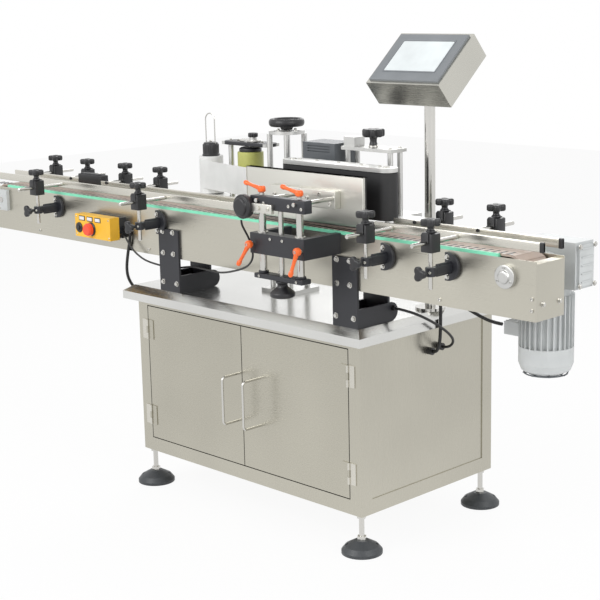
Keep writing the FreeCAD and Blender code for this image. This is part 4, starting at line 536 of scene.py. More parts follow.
def lamp(name, place, target, size, power):
    """A square soft lamp at a place, turned to face its target."""
    data = bpy.data.lights.new(name, "AREA")
    data.energy = power
    data.size = size
    thing = bpy.data.objects.new(name, data)
    bpy.context.scene.collection.objects.link(thing)
    place, target = to_frame(place), to_frame(target)
    back = (place - target) / np.linalg.norm(place - target)
    side = np.cross((0, 0, 1), back)
    side /= np.linalg.norm(side)
    pose = np.eye(4)
    pose[:3, :3] = np.stack([side, np.cross(back, side), back], axis=1)
    pose[:3, 3] = place
    thing.matrix_world = Matrix(pose.tolist())
    return thing


lamp("front_lamp", (-600, -3600, 3000), (0, -200, 800), 2.6, 95)
lamp("right_lamp", (3600, -300, 2600), (200, -100, 700), 2.2, 55)
lamp("back_lamp", (-1400, 2400, 3000), (0, 0, 900), 2.0, 45)

floor_material = bpy.data.materials.new("studio_floor")
floor_material.use_nodes = True
tree = floor_material.node_tree
shader = tree.nodes["Principled BSDF"]
shader.inputs["Base Color"].default_value = (0.86, 0.86, 0.86, 1)
shader.inputs["Roughness"].default_value = 0.9
glow = tree.nodes.new("ShaderNodeEmission")
glow.inputs["Strength"].default_value = WHITE
blend = tree.nodes.new("ShaderNodeMixShader")
blend.inputs["Fac"].default_value = FLOOR_GLOW
tree.links.new(shader.outputs[0], blend.inputs[1])
tree.links.new(glow.outputs[0], blend.inputs[2])
white_for_camera(tree, shader.outputs[0], blend.outputs[0], tree.nodes["Material Output"], "Surface")
floor_mesh = bpy.data.meshes.new("studio_floor")
floor_corners = [(x * FLOOR_HALF, y * FLOOR_HALF, FLOOR_LEVEL)
                 for x, y in ((-1, -1), (1, -1), (1, 1), (-1, 1))]
floor_mesh.from_pydata(floor_corners, [], [(0, 1, 2, 3)])
floor = bpy.data.objects.new("studio_floor", floor_mesh)
floor_mesh.materials.append(floor_material)
bpy.context.scene.collection.objects.link(floor)
print("lamps", len(bpy.data.lights), "floor", 2 * FLOOR_HALF, "m wide")

# %% [markdown]
# The leads come next, because their routes belong to the CAD model too. Each one is a smooth curve
# through the air between two glands, so a spline with the route's own corners as its control points
# gives the lazy bends of a real lead.

# %% the leads between their glands
LEADS = {
    "control_lead": (10.0, "medium",
                     [(-539, -308, 862.5), (-526, -308, 862.5), (-519, -308, 848), (-522, -307, 827),
                      (-532, -306, 800), (-543, -305, 765), (-551, -304, 728), (-554, -298, 696),
                      (-555, -282, 668), (-557, -256, 640), (-556, -228, 618), (-547, -209, 606),
                      (-532, -200, 600), (-515, -200, 600)]),
    "sensor_lead": (6.0, "medium",
                    [(-539, -322, 840), (-529, -322, 840), (-517, -322, 826), (-500, -321, 806),
                     (-475, -320, 788), (-437, -314, 768), (-390, -290, 754), (-323, -285, 752),
                     (-243, -285, 768), (-180, -302, 773), (-105, -322, 776), (-35, -348, 783),
                     (30, -373, 796), (85, -394, 810), (135, -408, 824), (178, -419, 842),
                     (203, -425, 868), (203, -428, 895), (196, -432, 923), (190, -444, 950),
                     (190, -455, 968), (190, -455, 980)]),
    "motor_lead": (10.0, "medium",
                   [(836, -85, 707), (806, -85, 707), (762, -88, 718), (708, -96, 742), (655, -100, 772),
                    (610, -86, 798), (575, -55, 806), (553, -20, 796), (543, 0, 765), (541, 5, 715),
                    (541, 5, 670), (541, 4, 630), (541, 2, 600), (537, 1, 576), (527, 0, 560),
                    (515, 0, 560)]),
    "detector_lead": (8.0, "medium",
                      [(510, -158, 717), (522, -158, 717), (538, -146, 712), (551, -128, 704),
                       (559, -104, 692), (563, -76, 677), (565, -46, 660), (566, -16, 641),
                       (565, 14, 620), (560, 38, 600), (550, 52, 583), (537, 54, 570), (526, 46, 566),
                       (515, 46, 566)]),
}


def lead(name, diameter, route):
    """A round lead on one smooth spline whose control points are the route's corners."""
    curve = bpy.data.curves.new(name, "CURVE")
    curve.dimensions = "3D"
    curve.bevel_depth = diameter / 2000
    curve.bevel_resolution = 5
    curve.use_fill_caps = True
    curve.resolution_u = 12
    spline = curve.splines.new("NURBS")
    points = to_frame(route)
    spline.points.add(len(points) - 1)
    spline.points.foreach_set("co", np.column_stack([points, np.ones(len(points))]).ravel())
    spline.order_u = 3
    spline.use_endpoint_u = True
    curve.materials.append(lead_rubber)
    thing = bpy.data.objects.new(name + "_smooth", curve)
    bpy.context.scene.collection.objects.link(thing)
    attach(thing, "base")
    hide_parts(name)
    return thing


def spline_length(thing):
    """The length of the spline itself, measured on a copy without thickness."""
    copy = thing.data.copy()
    copy.bevel_depth = 0
    probe = bpy.data.objects.new("probe", copy)
    mesh = bpy.data.meshes.new_from_object(probe)
    points = np.empty(len(mesh.vertices) * 3)
    mesh.vertices.foreach_get("co", points)
    length = float(np.linalg.norm(np.diff(points.reshape(-1, 3), axis=0), axis=1).sum())
    bpy.data.objects.remove(probe)
    bpy.data.curves.remove(copy)
    bpy.data.meshes.remove(mesh)
    return length


for name, (diameter, stiffness, route) in LEADS.items():
    made = lead(name, diameter, route)
    length = spline_length(made)
    print(name, "length", round(length, 3), "m")

# %% [markdown]
# A new piece moves with the body that holds the imported piece it stands for, and carries the finish it is
# given. The imported record names the body, and one small table names a slot for each finish, handed on but not
# used.

# %% helper that adds a piece in the place of a packed one
SLOTS = {rail_steel: "stainless", bright_steel: "bright_steel", clear_aluminium: "aluminium",
         plate_aluminium: "aluminium", black_plastic: "black_plastic", black_coat: "black_metal",
         grey_cast: "grey_metal", dark_cast: "dark_grey", orange_plastic: "orange_plastic",
         belt_rubber: "belt_rubber", drum_rubber: "drum_rubber", web_paper: "web_paper",
         bezel_plastic: "panel_grey", glass_screen: "panel_grey"}
FRONT_FACE = -300
BACK_FACE = -180


def carrier(node):
    """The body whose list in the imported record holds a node."""
    return next(body for body, held in frame["record"]["behaviour"]["bodies"].items() if node in held)


def dress(name, node, material, *forms, stands_for=False, angle=35.0):
    """A finished piece on a node's body; it hides the node where it stands for it."""
    return piece(name, carrier(node), SLOTS[material], material, *forms,
                 replaces=(node,) if stands_for else (), angle=angle)


def spun(outline, degrees):
    """An outline turned about its middle: x' = x cos a - y sin a, y' = x sin a + y cos a."""
    angle = math.radians(degrees)
    return outline @ np.array([[math.cos(angle), math.sin(angle)], [-math.sin(angle), math.cos(angle)]])


def to_front(form):
    """A piece of the operator's side, left where it is."""
    return form


def to_back(form):
    """A piece of the operator's side mirrored to the far side of the conveyor's middle plane."""
    return moved(flipped(form, 1), y=FRONT_FACE + BACK_FACE)


print("slots", len(set(SLOTS.values())))

# %% [markdown]
# Each guide rail hangs on split blocks. A steel post stands in the bracket, the moulded block rides up and
# down on it, and a star grip on top squeezes the block's slit, which holds the post and the rod together.
# The block is a cut outline carried across its width, and the grip is a lobed outline with a soft rim.

# %% split blocks and their grips
BLOCK_HALF = 18
BLOCK_BOTTOM = 952
POST_ROW = -391
POST_RADIUS = 6
SLIT = (7.5, 10.5)
SLIT_BOTTOM = 24
CLAMPS = {"front_left_posts": (-916, -360), "front_right_posts": (613, 840),
          "back_left_posts": (-1231, -1034, -814, -621), "back_right_posts": (635, 816)}


def clamp_block():
    """The split block: an outline with a slit and two cut corners, as wide as it is long."""
    near, far = SLIT
    outline = [(-BLOCK_HALF, 0), (BLOCK_HALF, 0), (BLOCK_HALF, 48), (13, 50), (far, 50), (far, SLIT_BOTTOM),
               (near, SLIT_BOTTOM), (near, 52), (-12, 52), (-BLOCK_HALF, 46)]
    return moved(along_y(plate(outline, -BLOCK_HALF, BLOCK_HALF, 1.2, 2)), z=BLOCK_BOTTOM)


def clamp_grip():
    """A neck with a waist, and four lobes turned to the diagonals with a raised button on top."""
    neck = lathe([(0, 1003), (13, 1003), (13, 1006), (8.5, 1011), (9, 1017), (14, 1023), (0, 1023)], 2.0, 24)
    grip = plate(spun(lobed(26, 4, 9, 1.6, 72), 45), 1019, 1038, 5.5, 4)
    return joined(neck, grip, lathe([(0, 1036), (8, 1036), (9, 1039), (0, 1039)], 0.8, 20))


for node, places in CLAMPS.items():
    side = to_back if node.startswith("back") else to_front
    spots = [(x, POST_ROW, 0) for x in places]
    dress(node + "_blocks", node, black_plastic, side(repeated(joined(clamp_block(), clamp_grip()), spots)),
          stands_for=True)
    dress(node + "_bars", node, bright_steel, side(repeated(bar(POST_RADIUS, 853, 966, 1.5, 20), spots)))
print("clamps", sum(len(places) for places in CLAMPS.values()))

# %% [markdown]
# The rails are flat steel bars with broken edges, and turned rods carry them through the blocks. The far
# left rail has a moulded separator in it. Bars are blocks with a small bevel, which catches the light as
# the drawn bar's real edge does.

# %% guide rails and rods
ROD_LEVEL = 977
RAIL_LEVELS = (965, 989)
RAIL_FACES = (-284, -276)
RAIL_END = 1115
SCREW_PLACES = (-978, -772, 624, 845)
SCREW_LEVEL = 984
RAILS = {"front_left_rail": [(-1330, 15)], "front_right_rail": [(545, RAIL_END)],
         "back_left_rail": [(-1330, -936), (-805, -110)], "back_right_rail": [(545, RAIL_END)]}


def rail_bar(low, high):
    """A flat bar from one place along the conveyor to another."""
    return block((low, RAIL_FACES[0], RAIL_LEVELS[0]), (high, RAIL_FACES[1], RAIL_LEVELS[1]), 1.6)


def end_cap():
    """A cap that is a little larger all round than the bar it closes."""
    return block((RAIL_END - 12, RAIL_FACES[0] - 1.2, RAIL_LEVELS[0] - 1.2),
                 (RAIL_END, RAIL_FACES[1] + 1.2, RAIL_LEVELS[1] + 1.2), 2.0)


for node, stretches in RAILS.items():
    at_back = node.startswith("back")
    side = to_back if at_back else to_front
    posts = CLAMPS[node.replace("rail", "posts")]
    rod = moved(along_y(bar(POST_RADIUS, 284, 468, 3.0, 20)), z=ROD_LEVEL)
    rods = repeated(rod, [(x, 0, 0) for x in posts])
    dress(node + "_bars", node, rail_steel, *[side(rail_bar(low, high)) for low, high in stretches],
          stands_for=True)
    dress(node + "_rods", node, bright_steel, side(rods))
    if at_back:
        holes = [(x, 0, SCREW_LEVEL) for x in SCREW_PLACES if any(low < x < high for low, high in stretches)]
        dress(node + "_screws", node, black_plastic,
              repeated(moved(along_y(socket_screw(5, 4)), y=-204), holes))
    if node.endswith("right_rail"):
        dress(node + "_end_caps", node, black_plastic, side(end_cap()))
dress("separator_box", "back_left_rail", black_plastic, block((-936, -204, 975), (-805, -170, 1005), 3.5),
      block((-956, -196.5, 968), (-785, -188, 985), 2.0), block((-926, -200, 1004), (-815, -174, 1008), 1.8))
print("rails", len(RAILS))

# %% [markdown]
# A cast half-moon is bolted to the conveyor's plate, and its arm ends in a split ring round the post. A wing
# grip tightens the ring from the operator's side.

# %% cast brackets with rings and wing grips
MOON_RADIUS = 38
MOON_MIDDLE = -12
MOON_EDGE = -20
BRACKET_LEVEL = 900


def half_moon():
    """A half disc with a short straight part, its flat edge to the left: (m + r cos a, r sin a)."""
    angle = np.linspace(-np.pi / 2, np.pi / 2, 25)
    arc = np.column_stack([MOON_MIDDLE + MOON_RADIUS * np.cos(angle), MOON_RADIUS * np.sin(angle)])
    return np.concatenate([[(MOON_EDGE, -MOON_RADIUS)], arc, [(MOON_EDGE, MOON_RADIUS)]])


def rail_bracket():
    """Half-moon, ribbed arm and ring, with the post's hole left open."""
    moon = along_y(plate(half_moon(), 300, 312, 2.5))
    arm = block((-7, -383, -12), (7, -309, 12), 4.0)
    web = block((-3.5, -370, -17), (3.5, -309, 17), 3.0)
    ring = lathe([(6.1, -12), (13, -12), (14.5, -10.5), (14.5, 10.5), (13, 12), (6.1, 12), (6.1, -12)],
                 sides=32)
    return joined(moon, arm, web, moved(ring, y=POST_ROW))


def wing_grip():
    """A stem out of the ring, a cone, and three lobes with soft rims."""
    stem = bar(5, 403, 430, 1.0, 16)
    grip = plate(lobed(21, 3, 8, 1.4, 60), 427, 441, 4.5, 4)
    return along_y(joined(stem, grip, lathe([(0, 418), (8, 418), (11, 428), (0, 428)], 1.0, 20)))


def bracket_bolts():
    """Two bolts near the half-moon's flat edge, and the ring's own screw."""
    plate_bolts = repeated(along_y(hex_head(5.5, 4.5)), [(-11, -312, 26), (-11, -312, -26)])
    return joined(plate_bolts, moved(along_y(socket_screw(4, 4)), 8, -403, 0))


for word, side in (("front", to_front), ("back", to_back)):
    places = CLAMPS[word + "_left_posts"] + CLAMPS[word + "_right_posts"]
    spots = [(x, 0, BRACKET_LEVEL) for x in places]
    dress("rail_brackets_" + word, "rail_brackets", black_coat, side(repeated(rail_bracket(), spots)),
          stands_for=word == "front")
    dress("wing_grips_" + word, "rail_brackets", black_plastic, side(repeated(wing_grip(), spots)))
    dress("bracket_bolts_" + word, "rail_brackets", bright_steel, side(repeated(bracket_bolts(), spots)))
    print("brackets at the", word, len(places))

# %% [markdown]
# The press's clamp levers are moulded over a steel hub. The arm is a round section that grows thinner and
# ends in a soft bulb, carried along a line that rises a little.

# %% orange clamp levers
ARM_LENGTH = 74
ARM_START = 14.9
ARM_RISE = 12
BULB_FROM = 0.8
TOP_LEVER_BASE = 1055.3
FRONT_LEVER_PLACES = {"front_left_lever": (227, -62), "front_right_lever": (422, -78)}


def lever_handle():
    """Arm radius 8.5 - 3.5 sin(pi t / 1.15)^0.8, then a bulb that closes as the root of 1 - e^4."""
    t = np.linspace(0, 1, 22)
    end = np.clip((t - BULB_FROM) / (1 - BULB_FROM), 0, 1)
    arm = 8.5 - 3.5 * np.sin(np.pi * np.minimum(t, BULB_FROM) / 1.15) ** 0.8
    bulb = 7.2 * np.sqrt(np.clip(1 - (end * 0.995) ** 4, 0, 1))
    radii = np.where(t < BULB_FROM, arm, bulb)
    rise = math.radians(ARM_RISE)
    reach = ARM_LENGTH * t
    path = np.column_stack([-reach * math.cos(rise), 0 * t, ARM_START + reach * math.sin(rise)])
    hub = lathe([(0, 7), (9, 7), (11.5, 10), (11.5, 20), (8, 24.5), (0, 24.5)], 2.0, 28)
    return joined(swept(path, radii, 20, (0, 1, 0)), hub)


def lever_neck():
    """The bright foot under the hub, and the screw on its top."""
    return joined(lathe([(0, 0), (8, 0), (8, 5), (6.5, 6), (6.5, 8), (0, 8)], sides=24),
                  moved(socket_screw(4.5, 3), z=23.5))


def place_lever(form, node):
    """Top levers stand on the block; front levers face the operator and hang down at their own angle."""
    if node in FRONT_LEVER_PLACES:
        x, swing = FRONT_LEVER_PLACES[node]
        return moved(turn(turn(form, (1, 0, 0), 90), (0, 1, 0), swing), x, -447.3, 914.55)
    place = pivot(node + "_turn")
    return moved(form, place[0], place[1], TOP_LEVER_BASE)


for node in ("top_left_lever", "top_right_lever", "front_left_lever", "front_right_lever"):
    dress(node + "_handle", node, orange_plastic, place_lever(lever_handle(), node), stands_for=True)
    dress(node + "_neck", node, bright_steel, place_lever(lever_neck(), node))
print("levers 4, arm", ARM_LENGTH, "mm")

# %% [markdown]
# The press hangs on two polished posts. A black block joins them at the top, a plate at the foot, and a
# threaded screw with a flared grip lifts the whole. The thread is a profile that goes in and out by the
# pitch, turned round the screw's axis.

# %% press unit
PRESS_ROW = -427.5
PRESS_POSTS = (249, 400)
SCREW_PLACE = (324.5, PRESS_ROW)
THREAD_STEP = 2.0
THREAD_RADII = (6.9, 8.0)
THREAD_LEVELS = (812, 1014)


def at_posts(form, z=0):
    """A form at each of the two press posts."""
    return repeated(form, [(x, PRESS_ROW, z) for x in PRESS_POSTS])


def thread():
    """A bar whose radius goes from root to crest and back every two steps."""
    levels = np.arange(THREAD_LEVELS[0], THREAD_LEVELS[1] + 1, THREAD_STEP)
    radii = np.where(np.arange(len(levels)) % 2 == 0, *THREAD_RADII)
    profile = [(0, THREAD_LEVELS[0]), *zip(radii, levels), (0, THREAD_LEVELS[1])]
    return lathe(profile, sides=20)


press_left = span("press_posts")[0][0]
dress("press_columns", "press_posts", bright_steel, at_posts(bar(10.5, 824, 1050, 1.5, 32)), stands_for=True)
dress("press_blocks", "press_posts", black_coat,
      block((press_left, -443, 1016), (434, -412, 1053), 2.5), block((227, -446, 817), (422, -409, 831), 2.5),
      at_posts(bar(15, 831, 838, 1.5, 28)))
dress("press_screws", "press_posts", bright_steel,
      repeated(moved(along_y(socket_screw(5, 4)), y=-443), [(274, 0, 1034), (374, 0, 1034), (424, 0, 1030)]),
      repeated(moved(along_y(socket_screw(4, 3)), y=-446), [(x, 0, 824) for x in PRESS_POSTS]))
dress("press_thread", "press_screw", bright_steel, moved(thread(), *SCREW_PLACE), angle=60)
grip = lathe([(0, 769), (30, 769), (36, 773), (36, 783), (27, 791), (16, 799), (14, 806), (19, 812),
              (19, 816.5), (0, 816.5)], 3.0, 48)
flutes = plate(lobed(36, 9, 2.6, 2.0, 108), 771, 785, 4.0, 3)
dress("press_grip", "press_screw", black_plastic, moved(joined(grip, flutes), *SCREW_PLACE), stands_for=True)
print("thread turns", (THREAD_LEVELS[1] - THREAD_LEVELS[0]) / (2 * THREAD_STEP))

# %% [markdown]
# A round bottle sensor looks across the conveyor. It is a turned cap on a bright tongue with one round end,
# which a screw holds to the press block.

# %% bottle sensor on its clamp
SENSOR_PLACE = (201, 0, 1020)
TONGUE_LEVEL = 1020
TONGUE_HALF = 13
sensor = lathe([(0, 443), (31, 443), (35, 446), (35, 462), (32, 466), (26, 467), (25, 472), (22, 474.4),
                (0, 474.4)], 1.5, 48)
dress("bottle_sensor_cap", "bottle_sensor", black_plastic, moved(along_y(sensor), *SENSOR_PLACE),
      stands_for=True)
angle = np.linspace(np.pi / 2, 3 * np.pi / 2, 13)
round_end = np.column_stack([236 + TONGUE_HALF * np.cos(angle), TONGUE_LEVEL + TONGUE_HALF * np.sin(angle)])
tongue = np.concatenate([round_end, [(314, TONGUE_LEVEL - TONGUE_HALF), (314, TONGUE_LEVEL + TONGUE_HALF)]])
dress("sensor_clamp", "bottle_sensor", plate_aluminium, along_y(plate(tongue, 442.6, 454.4, 1.5)),
      moved(along_y(socket_screw(5, 4)), 300, -454.4, TONGUE_LEVEL),
      moved(along_y(hex_head(6, 4)), 262, -454.4, TONGUE_LEVEL))
print("sensor", SENSOR_PLACE)

# %% [markdown]
# The pressure plate rolls each bottle along the wrap belt. A sheet carries a soft pad, and a screwed block
# behind it takes the two rods from the press.

# %% pressure plate, its carrier and soft pad
sheet = block((20, -276, 962), (500, -270, 1105), 1.2, 6.0)
dress("pressure_sheet", "pressure_plate", plate_aluminium, sheet,
      block((147, -300, 1011), (411, -276, 1062), 2.0), stands_for=True)
rods = repeated(moved(along_y(bar(6, 299, 454.5, 2.0, 20)), z=1041), [(x, 0, 0) for x in PRESS_POSTS])
carrier_screws = [(166, 0, 1036), (300, 0, 1036), (352, 0, 1050), (392, 0, 1024)]
dress("pressure_rods", "pressure_plate", bright_steel, rods,
      repeated(moved(along_y(socket_screw(5.5, 4)), y=FRONT_FACE), carrier_screws))
dress("pressure_pad", "pressure_plate", belt_rubber, block((20, -270, 962), (500, -262, 1105), 3.0, 6.0))
print("carrier screws", len(carrier_screws))

# %% [markdown]
# The head rises on a column with a handwheel: a thick round rim, three spokes and a hub. The rim is an oval
# turned round the axis, and the spokes are sweeps from the hub into the rim.

# %% handwheel
RIM_MIDDLE = (48, 1215)
RIM_HALVES = (8, 12)
wheel = pivot("lift_wheel_turn")[:2]
around = np.linspace(0, 2 * np.pi, 15)
rim = lathe(np.column_stack([RIM_MIDDLE[0] + RIM_HALVES[0] * np.cos(around),
                             RIM_MIDDLE[1] + RIM_HALVES[1] * np.sin(around)]), sides=56)
hub = lathe([(0, 1192), (16, 1192), (20, 1196), (20, 1212), (14, 1219), (0, 1219)], 2.0, 32)
spoke_path = [(14, 0, 1208), (26, 0, 1206), (36, 0, 1210), (45, 0, 1214)]
spoke = swept(spoke_path, (6.5, 5.5, 5.0, 5.5), 14, (0, 1, 0))
spokes = [turn(spoke, (0, 0, 1), degrees) for degrees in (90, 210, 330)]
dress("handwheel", "lift_wheel", black_plastic, moved(joined(rim, hub, *spokes), *wheel), stands_for=True)
nut = joined(bar(9, 1218, 1220, 0.5, 24), plate(polygon(7, 6), 1219, 1222, 0.6))
dress("handwheel_nut", "lift_wheel", bright_steel, moved(nut, *wheel))
print("handwheel", 2 * (RIM_MIDDLE[0] + RIM_HALVES[0]), "mm across")

# %% [markdown]
# The feed drum pulls the label web with its soft yellow-green sleeve, between a bearing ring above and a
# flange below. The rewinder takes up the empty backing: its roll shows the edges of the wound layers, and a
# ribbed cap carries a bent wire that grips the backing's start.

# %% feed drum and rewinder
LAYER_STEP = 4
drum = pivot("feed_drum_turn")[:2]
sleeve = lathe([(0, 966), (40, 966), (42, 968), (42, 1112), (40, 1114), (0, 1114)], 1.0, 64)
dress("drum_sleeve", "feed_drum", drum_rubber, moved(sleeve, *drum), stands_for=True)
bearing = lathe([(0, 1113), (34, 1113), (36, 1115), (36, 1124), (30, 1128), (0, 1128)], 1.5, 56)
drum_flange = lathe([(0, 964.4), (43, 964.4), (43, 968), (0, 968)], 0.8, 56)
dress("drum_bearing", "feed_drum", black_plastic, moved(joined(bearing, drum_flange), *drum))
spool = pivot("rewinder_turn")[:2]
layers = [(40 - 0.5 * (k % 2), 970 + LAYER_STEP * k) for k in range(29)]
roll = lathe([(0, 966), (39, 966), (40, 967)] + layers + [(39, 1088), (0, 1088)], sides=56)
dress("rewound_backing", "rewinder", web_paper, moved(roll, *spool), stands_for=True)
ribs = plate(lobed(27, 30, 1.6, 1.0, 180), 1092, 1126, 1.6, 2)
cap = lathe([(0, 1087), (29, 1087), (29, 1093), (27, 1094), (25.5, 1126), (22, 1132), (0, 1132)], 2.0, 48)
dress("rewinder_cap", "rewinder", black_plastic, moved(joined(ribs, cap), *spool))
t = np.linspace(0, np.pi, 21)
wire = np.concatenate([[(22, 0, 1128), (22, 0, 1170)],
                       np.column_stack([22 * np.cos(t), 0 * t, 1206 + 21 * np.sin(t)]),
                       [(-22, 0, 1170), (-22, 0, 1128)]])
stud = plate(polygon(5, 6), 1131, 1139, 0.8)
dress("rewinder_wire", "rewinder", bright_steel, moved(joined(swept(wire, 2.0, 12, (0, 1, 0)), stud), *spool))
print("drum at", drum, "rewinder at", spool)

# %% [markdown]
# The star knob locks the arm: seven lobes on a black neck with a bright collar.

# %% star knob
star = pivot("star_knob_turn")[:2]
star_lobes = plate(lobed(34, 7, 8, 1.3, 126), 1190, 1213.5, 6.0, 4)
star_neck = lathe([(0, 1166), (13, 1166), (10, 1176), (11, 1186), (16, 1192), (0, 1192)], 2.0, 28)
star_top = lathe([(0, 1212), (12, 1212), (13, 1214.2), (0, 1214.2)], 0.6, 24)
dress("star_grip", "star_knob", black_plastic, moved(joined(star_lobes, star_neck, star_top), *star),
      stands_for=True)
star_collar = lathe([(0, 1160.4), (15, 1160.4), (15, 1165), (12, 1167), (0, 1167)], 0.8, 28)
dress("star_collar", "star_knob", bright_steel, moved(star_collar, *star))
print("star knob at", star)

# %% [markdown]
# The slat chain shows a row of notches along its edge, each drawn as a thin black plate of painted shade,
# with the bright end of a pin beside each. Both repeat about a hundred times, so each has only a few faces.

# %% painted notch shade and pins of the slat chain
SLAT_PITCH = 24
chain_top = span("conveyor_chain")[1][2]
links = [(float(x), 0, 0) for x in np.arange(-1320, 1012, SLAT_PITCH)]
# painted shade: a thin black plate on the chain's top stands for the shade inside each notch
notch_shade_outline = [(-4.5, -290.2), (4.5, -290.2), (3, -256), (-3, -256)]
notch_shade = plate(notch_shade_outline, chain_top - 1, chain_top + 0.5, 0.3, 1)
# these black plates are painted shade of the notches, not dark parts of the chain
dress("chain_notch_shade", "conveyor_chain", black_plastic, repeated(notch_shade, links))
pin = moved(lathe([(0, 0), (4, 0), (4, 0.4), (3, 0.8), (0, 0.8)], sides=10), SLAT_PITCH / 2, -286, chain_top)
dress("chain_pins", "conveyor_chain", clear_aluminium, repeated(pin, links))
print("chain joints", len(links))

# %% [markdown]
# The touch panel has a pale glass in a grey bezel. Its face leans back, so the glass is drawn flat and then
# turned to the face's own plane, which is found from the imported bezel's outermost points.

# %% glass of the touch panel
PANEL_TILT = 41.0
PANEL_MIDDLE = np.array([467.0, 0.0, 1417.0])
tilt = math.radians(PANEL_TILT)
face_normal = np.array([0.0, -math.sin(tilt), math.cos(tilt)])
bezel_points = np.empty(len(nodes["touch_panel"].data.vertices) * 3)
nodes["touch_panel"].data.vertices.foreach_get("co", bezel_points)
face_level = ((bezel_points.reshape(-1, 3) - MIDDLE) * 1000 @ face_normal).max()
face_middle = PANEL_MIDDLE + face_normal * (face_level - PANEL_MIDDLE @ face_normal)


def on_panel(form):
    """A form drawn flat, X to the right and Y up the face, laid on the bezel's face."""
    return moved(turn(form, (1, 0, 0), PANEL_TILT), *face_middle)


glass = plate(rectangle(-95, 95, -56, 64, 2.0), -1, 0.8, 0.6)
dress("panel_glass", "touch_panel", glass_screen, on_panel(glass))
RIM_STRIPS = [((-99, -61), (99, -57)), ((-99, 65), (99, 69)), ((-99, -60), (-96, 68)), ((96, -60), (99, 68))]
dress("panel_rim", "touch_panel", bezel_plastic,
      *[on_panel(block((*low, -1), (*high, 1.6), 1.0)) for low, high in RIM_STRIPS])
print("panel face level", round(float(face_level), 1))

# %% [markdown]
# The control box carries three blank legend plates in black frames, a mushroom stop on its collar, a start
# button with a bezel ring, and a screw in each corner.

# %% control box details
LEGENDS = [(x, 0, 890) for x in (-696, -653, -610)]
STOP_PLACE = (-646, 0, 857.5)
START_PLACE = (-712, 0, 857.5)


def button_ring(radius, shoulder, slope, sides, place):
    """A collar on the box's face: straight to its shoulder, then sloping in to its rim."""
    collar = [(0, 368.5), (radius, 368.5), (radius, shoulder), (radius - slope, 374), (0, 374)]
    return moved(along_y(lathe(collar, 0.8, sides)), *place)


frame_plate = along_y(plate(rectangle(-16, 16, -8, 8, 2.0), 368.6, 370.4, 0.6))
dress("legend_frames", "control_box", black_plastic, repeated(frame_plate, LEGENDS))
blank_plate = along_y(plate(rectangle(-13, 13, -5.5, 5.5, 1.0), 370, 371, 0.4))
dress("legend_plates", "control_box", web_paper, repeated(blank_plate, LEGENDS))
dress("button_rings", "control_box", black_plastic,
      button_ring(23, 371, 4, 40, STOP_PLACE), button_ring(17, 372, 3, 36, START_PLACE))
dress("box_screws", "control_box", bright_steel,
      repeated(along_y(socket_screw(3.2, 1.8)), [(x, -368.8, z) for x in (-727, -553) for z in (835, 894)]))
print("legend plates", len(LEGENDS))

# %% [markdown]
# Screws tell how the machine was put together, so every visible one is there: the supports', the ties' and
# the end plate's bolts, and the studs that stretch the chain.

# %% bolts of the conveyor and its supports
SUPPORT_FRONT = -308
SUPPORT_BACK = -172
SUPPORT_BOLTS = [(x, z) for x in (-350, -300, 423, 473) for z in (873, 804)]
SUPPORT_BOLTS += [(x, 709) for x in (-355, -288, 417, 486)]
TIE_BOLTS = [(x, 805) for x in (-1045, -432, 181, 794)] + [(1094, 847), (1094, 817)]


def both_sides(form, places, front, back):
    """A form that faces the operator at every place, and its mirrored twin on the far side."""
    return joined(repeated(form, [(x, front, z) for x, z in places]),
                  repeated(flipped(form, 1), [(x, back, z) for x, z in places]))


dress("support_bolts", "conveyor_supports", bright_steel,
      both_sides(along_y(hex_head(6.5, 5)), SUPPORT_BOLTS, SUPPORT_FRONT, SUPPORT_BACK))
dress("tie_bolts", "conveyor_frame", bright_steel,
      both_sides(along_y(socket_screw(5, 3.5)), TIE_BOLTS, FRONT_FACE, BACK_FACE),
      repeated(along_x(hex_head(5.5, 5)), [(1106, -271, 831), (1106, -200, 829)]))
flange = joined(lathe([(0, 0), (31, 0), (31, 12), (29, 13.5), (18, 13.5), (16, 19), (12, 20), (0, 20)],
                      1.2, 48),
                *[moved(socket_screw(3.5, 3), 23.5 * math.cos(a), 23.5 * math.sin(a), 13)
                  for a in np.radians((90, 210, 330))])
dress("drive_flange_cap", "bearing_flanges", clear_aluminium, moved(along_y(flange), 1015, FRONT_FACE, 896))
block_screws = [(x, -336, z) for x in (-1290, -1238) for z in (872, 922)]
dress("idler_block_screws", "bearing_flanges", bright_steel,
      repeated(along_y(socket_screw(4.5, 3)), block_screws))
print("bolts", 2 * (len(SUPPORT_BOLTS) + len(TIE_BOLTS)) + len(block_screws))

# %% [markdown]
# The yoke over the drum is a black plate with rounded ends, a bright oval cap and a black thumb knob. The
# press bracket and the belt's cover plate have their own screws.

# %% head details
HEAD_ROW = -50
BELT_ROW = -178
BELT_COVER_TOP = 1124
HEAD_BASE_TOP = 964
yoke_plate = plate(rectangle(-312, -98, -83, -17, 30, 10), 1133.5, 1145, 2.0)
dress("yoke_cover", "head_frame", black_coat, yoke_plate)
oval_cap = plate(rectangle(-245, -165, -71, -29, 20, 10), 1144.5, 1152.5, 1.5)
dress("yoke_cap", "head_frame", bright_steel, oval_cap,
      repeated(hex_head(5, 4), [(x, HEAD_ROW, 1144.5) for x in (-297, -113, -262, -148)]))
thumb = joined(plate(lobed(16, 12, 1.6, 1.0, 96), 1160, 1174, 3.0), bar(9, 1151, 1161, 1.0))
dress("yoke_thumb", "head_frame", black_plastic, moved(thumb, -191, HEAD_ROW))
washer = lathe([(8, 0), (11, 0), (11, 2), (8, 2), (8, 0)], sides=28)
dress("belt_cover_screws", "head_frame", bright_steel,
      repeated(socket_screw(5, 4), [(x, BELT_ROW, BELT_COVER_TOP) for x in (150, 221, 311, 401, 472)]),
      repeated(washer, [(x, BELT_ROW, BELT_COVER_TOP) for x in (124, 498)]))
base_places = [(-420, -150), (-420, 120), (160, -110), (300, -150)]
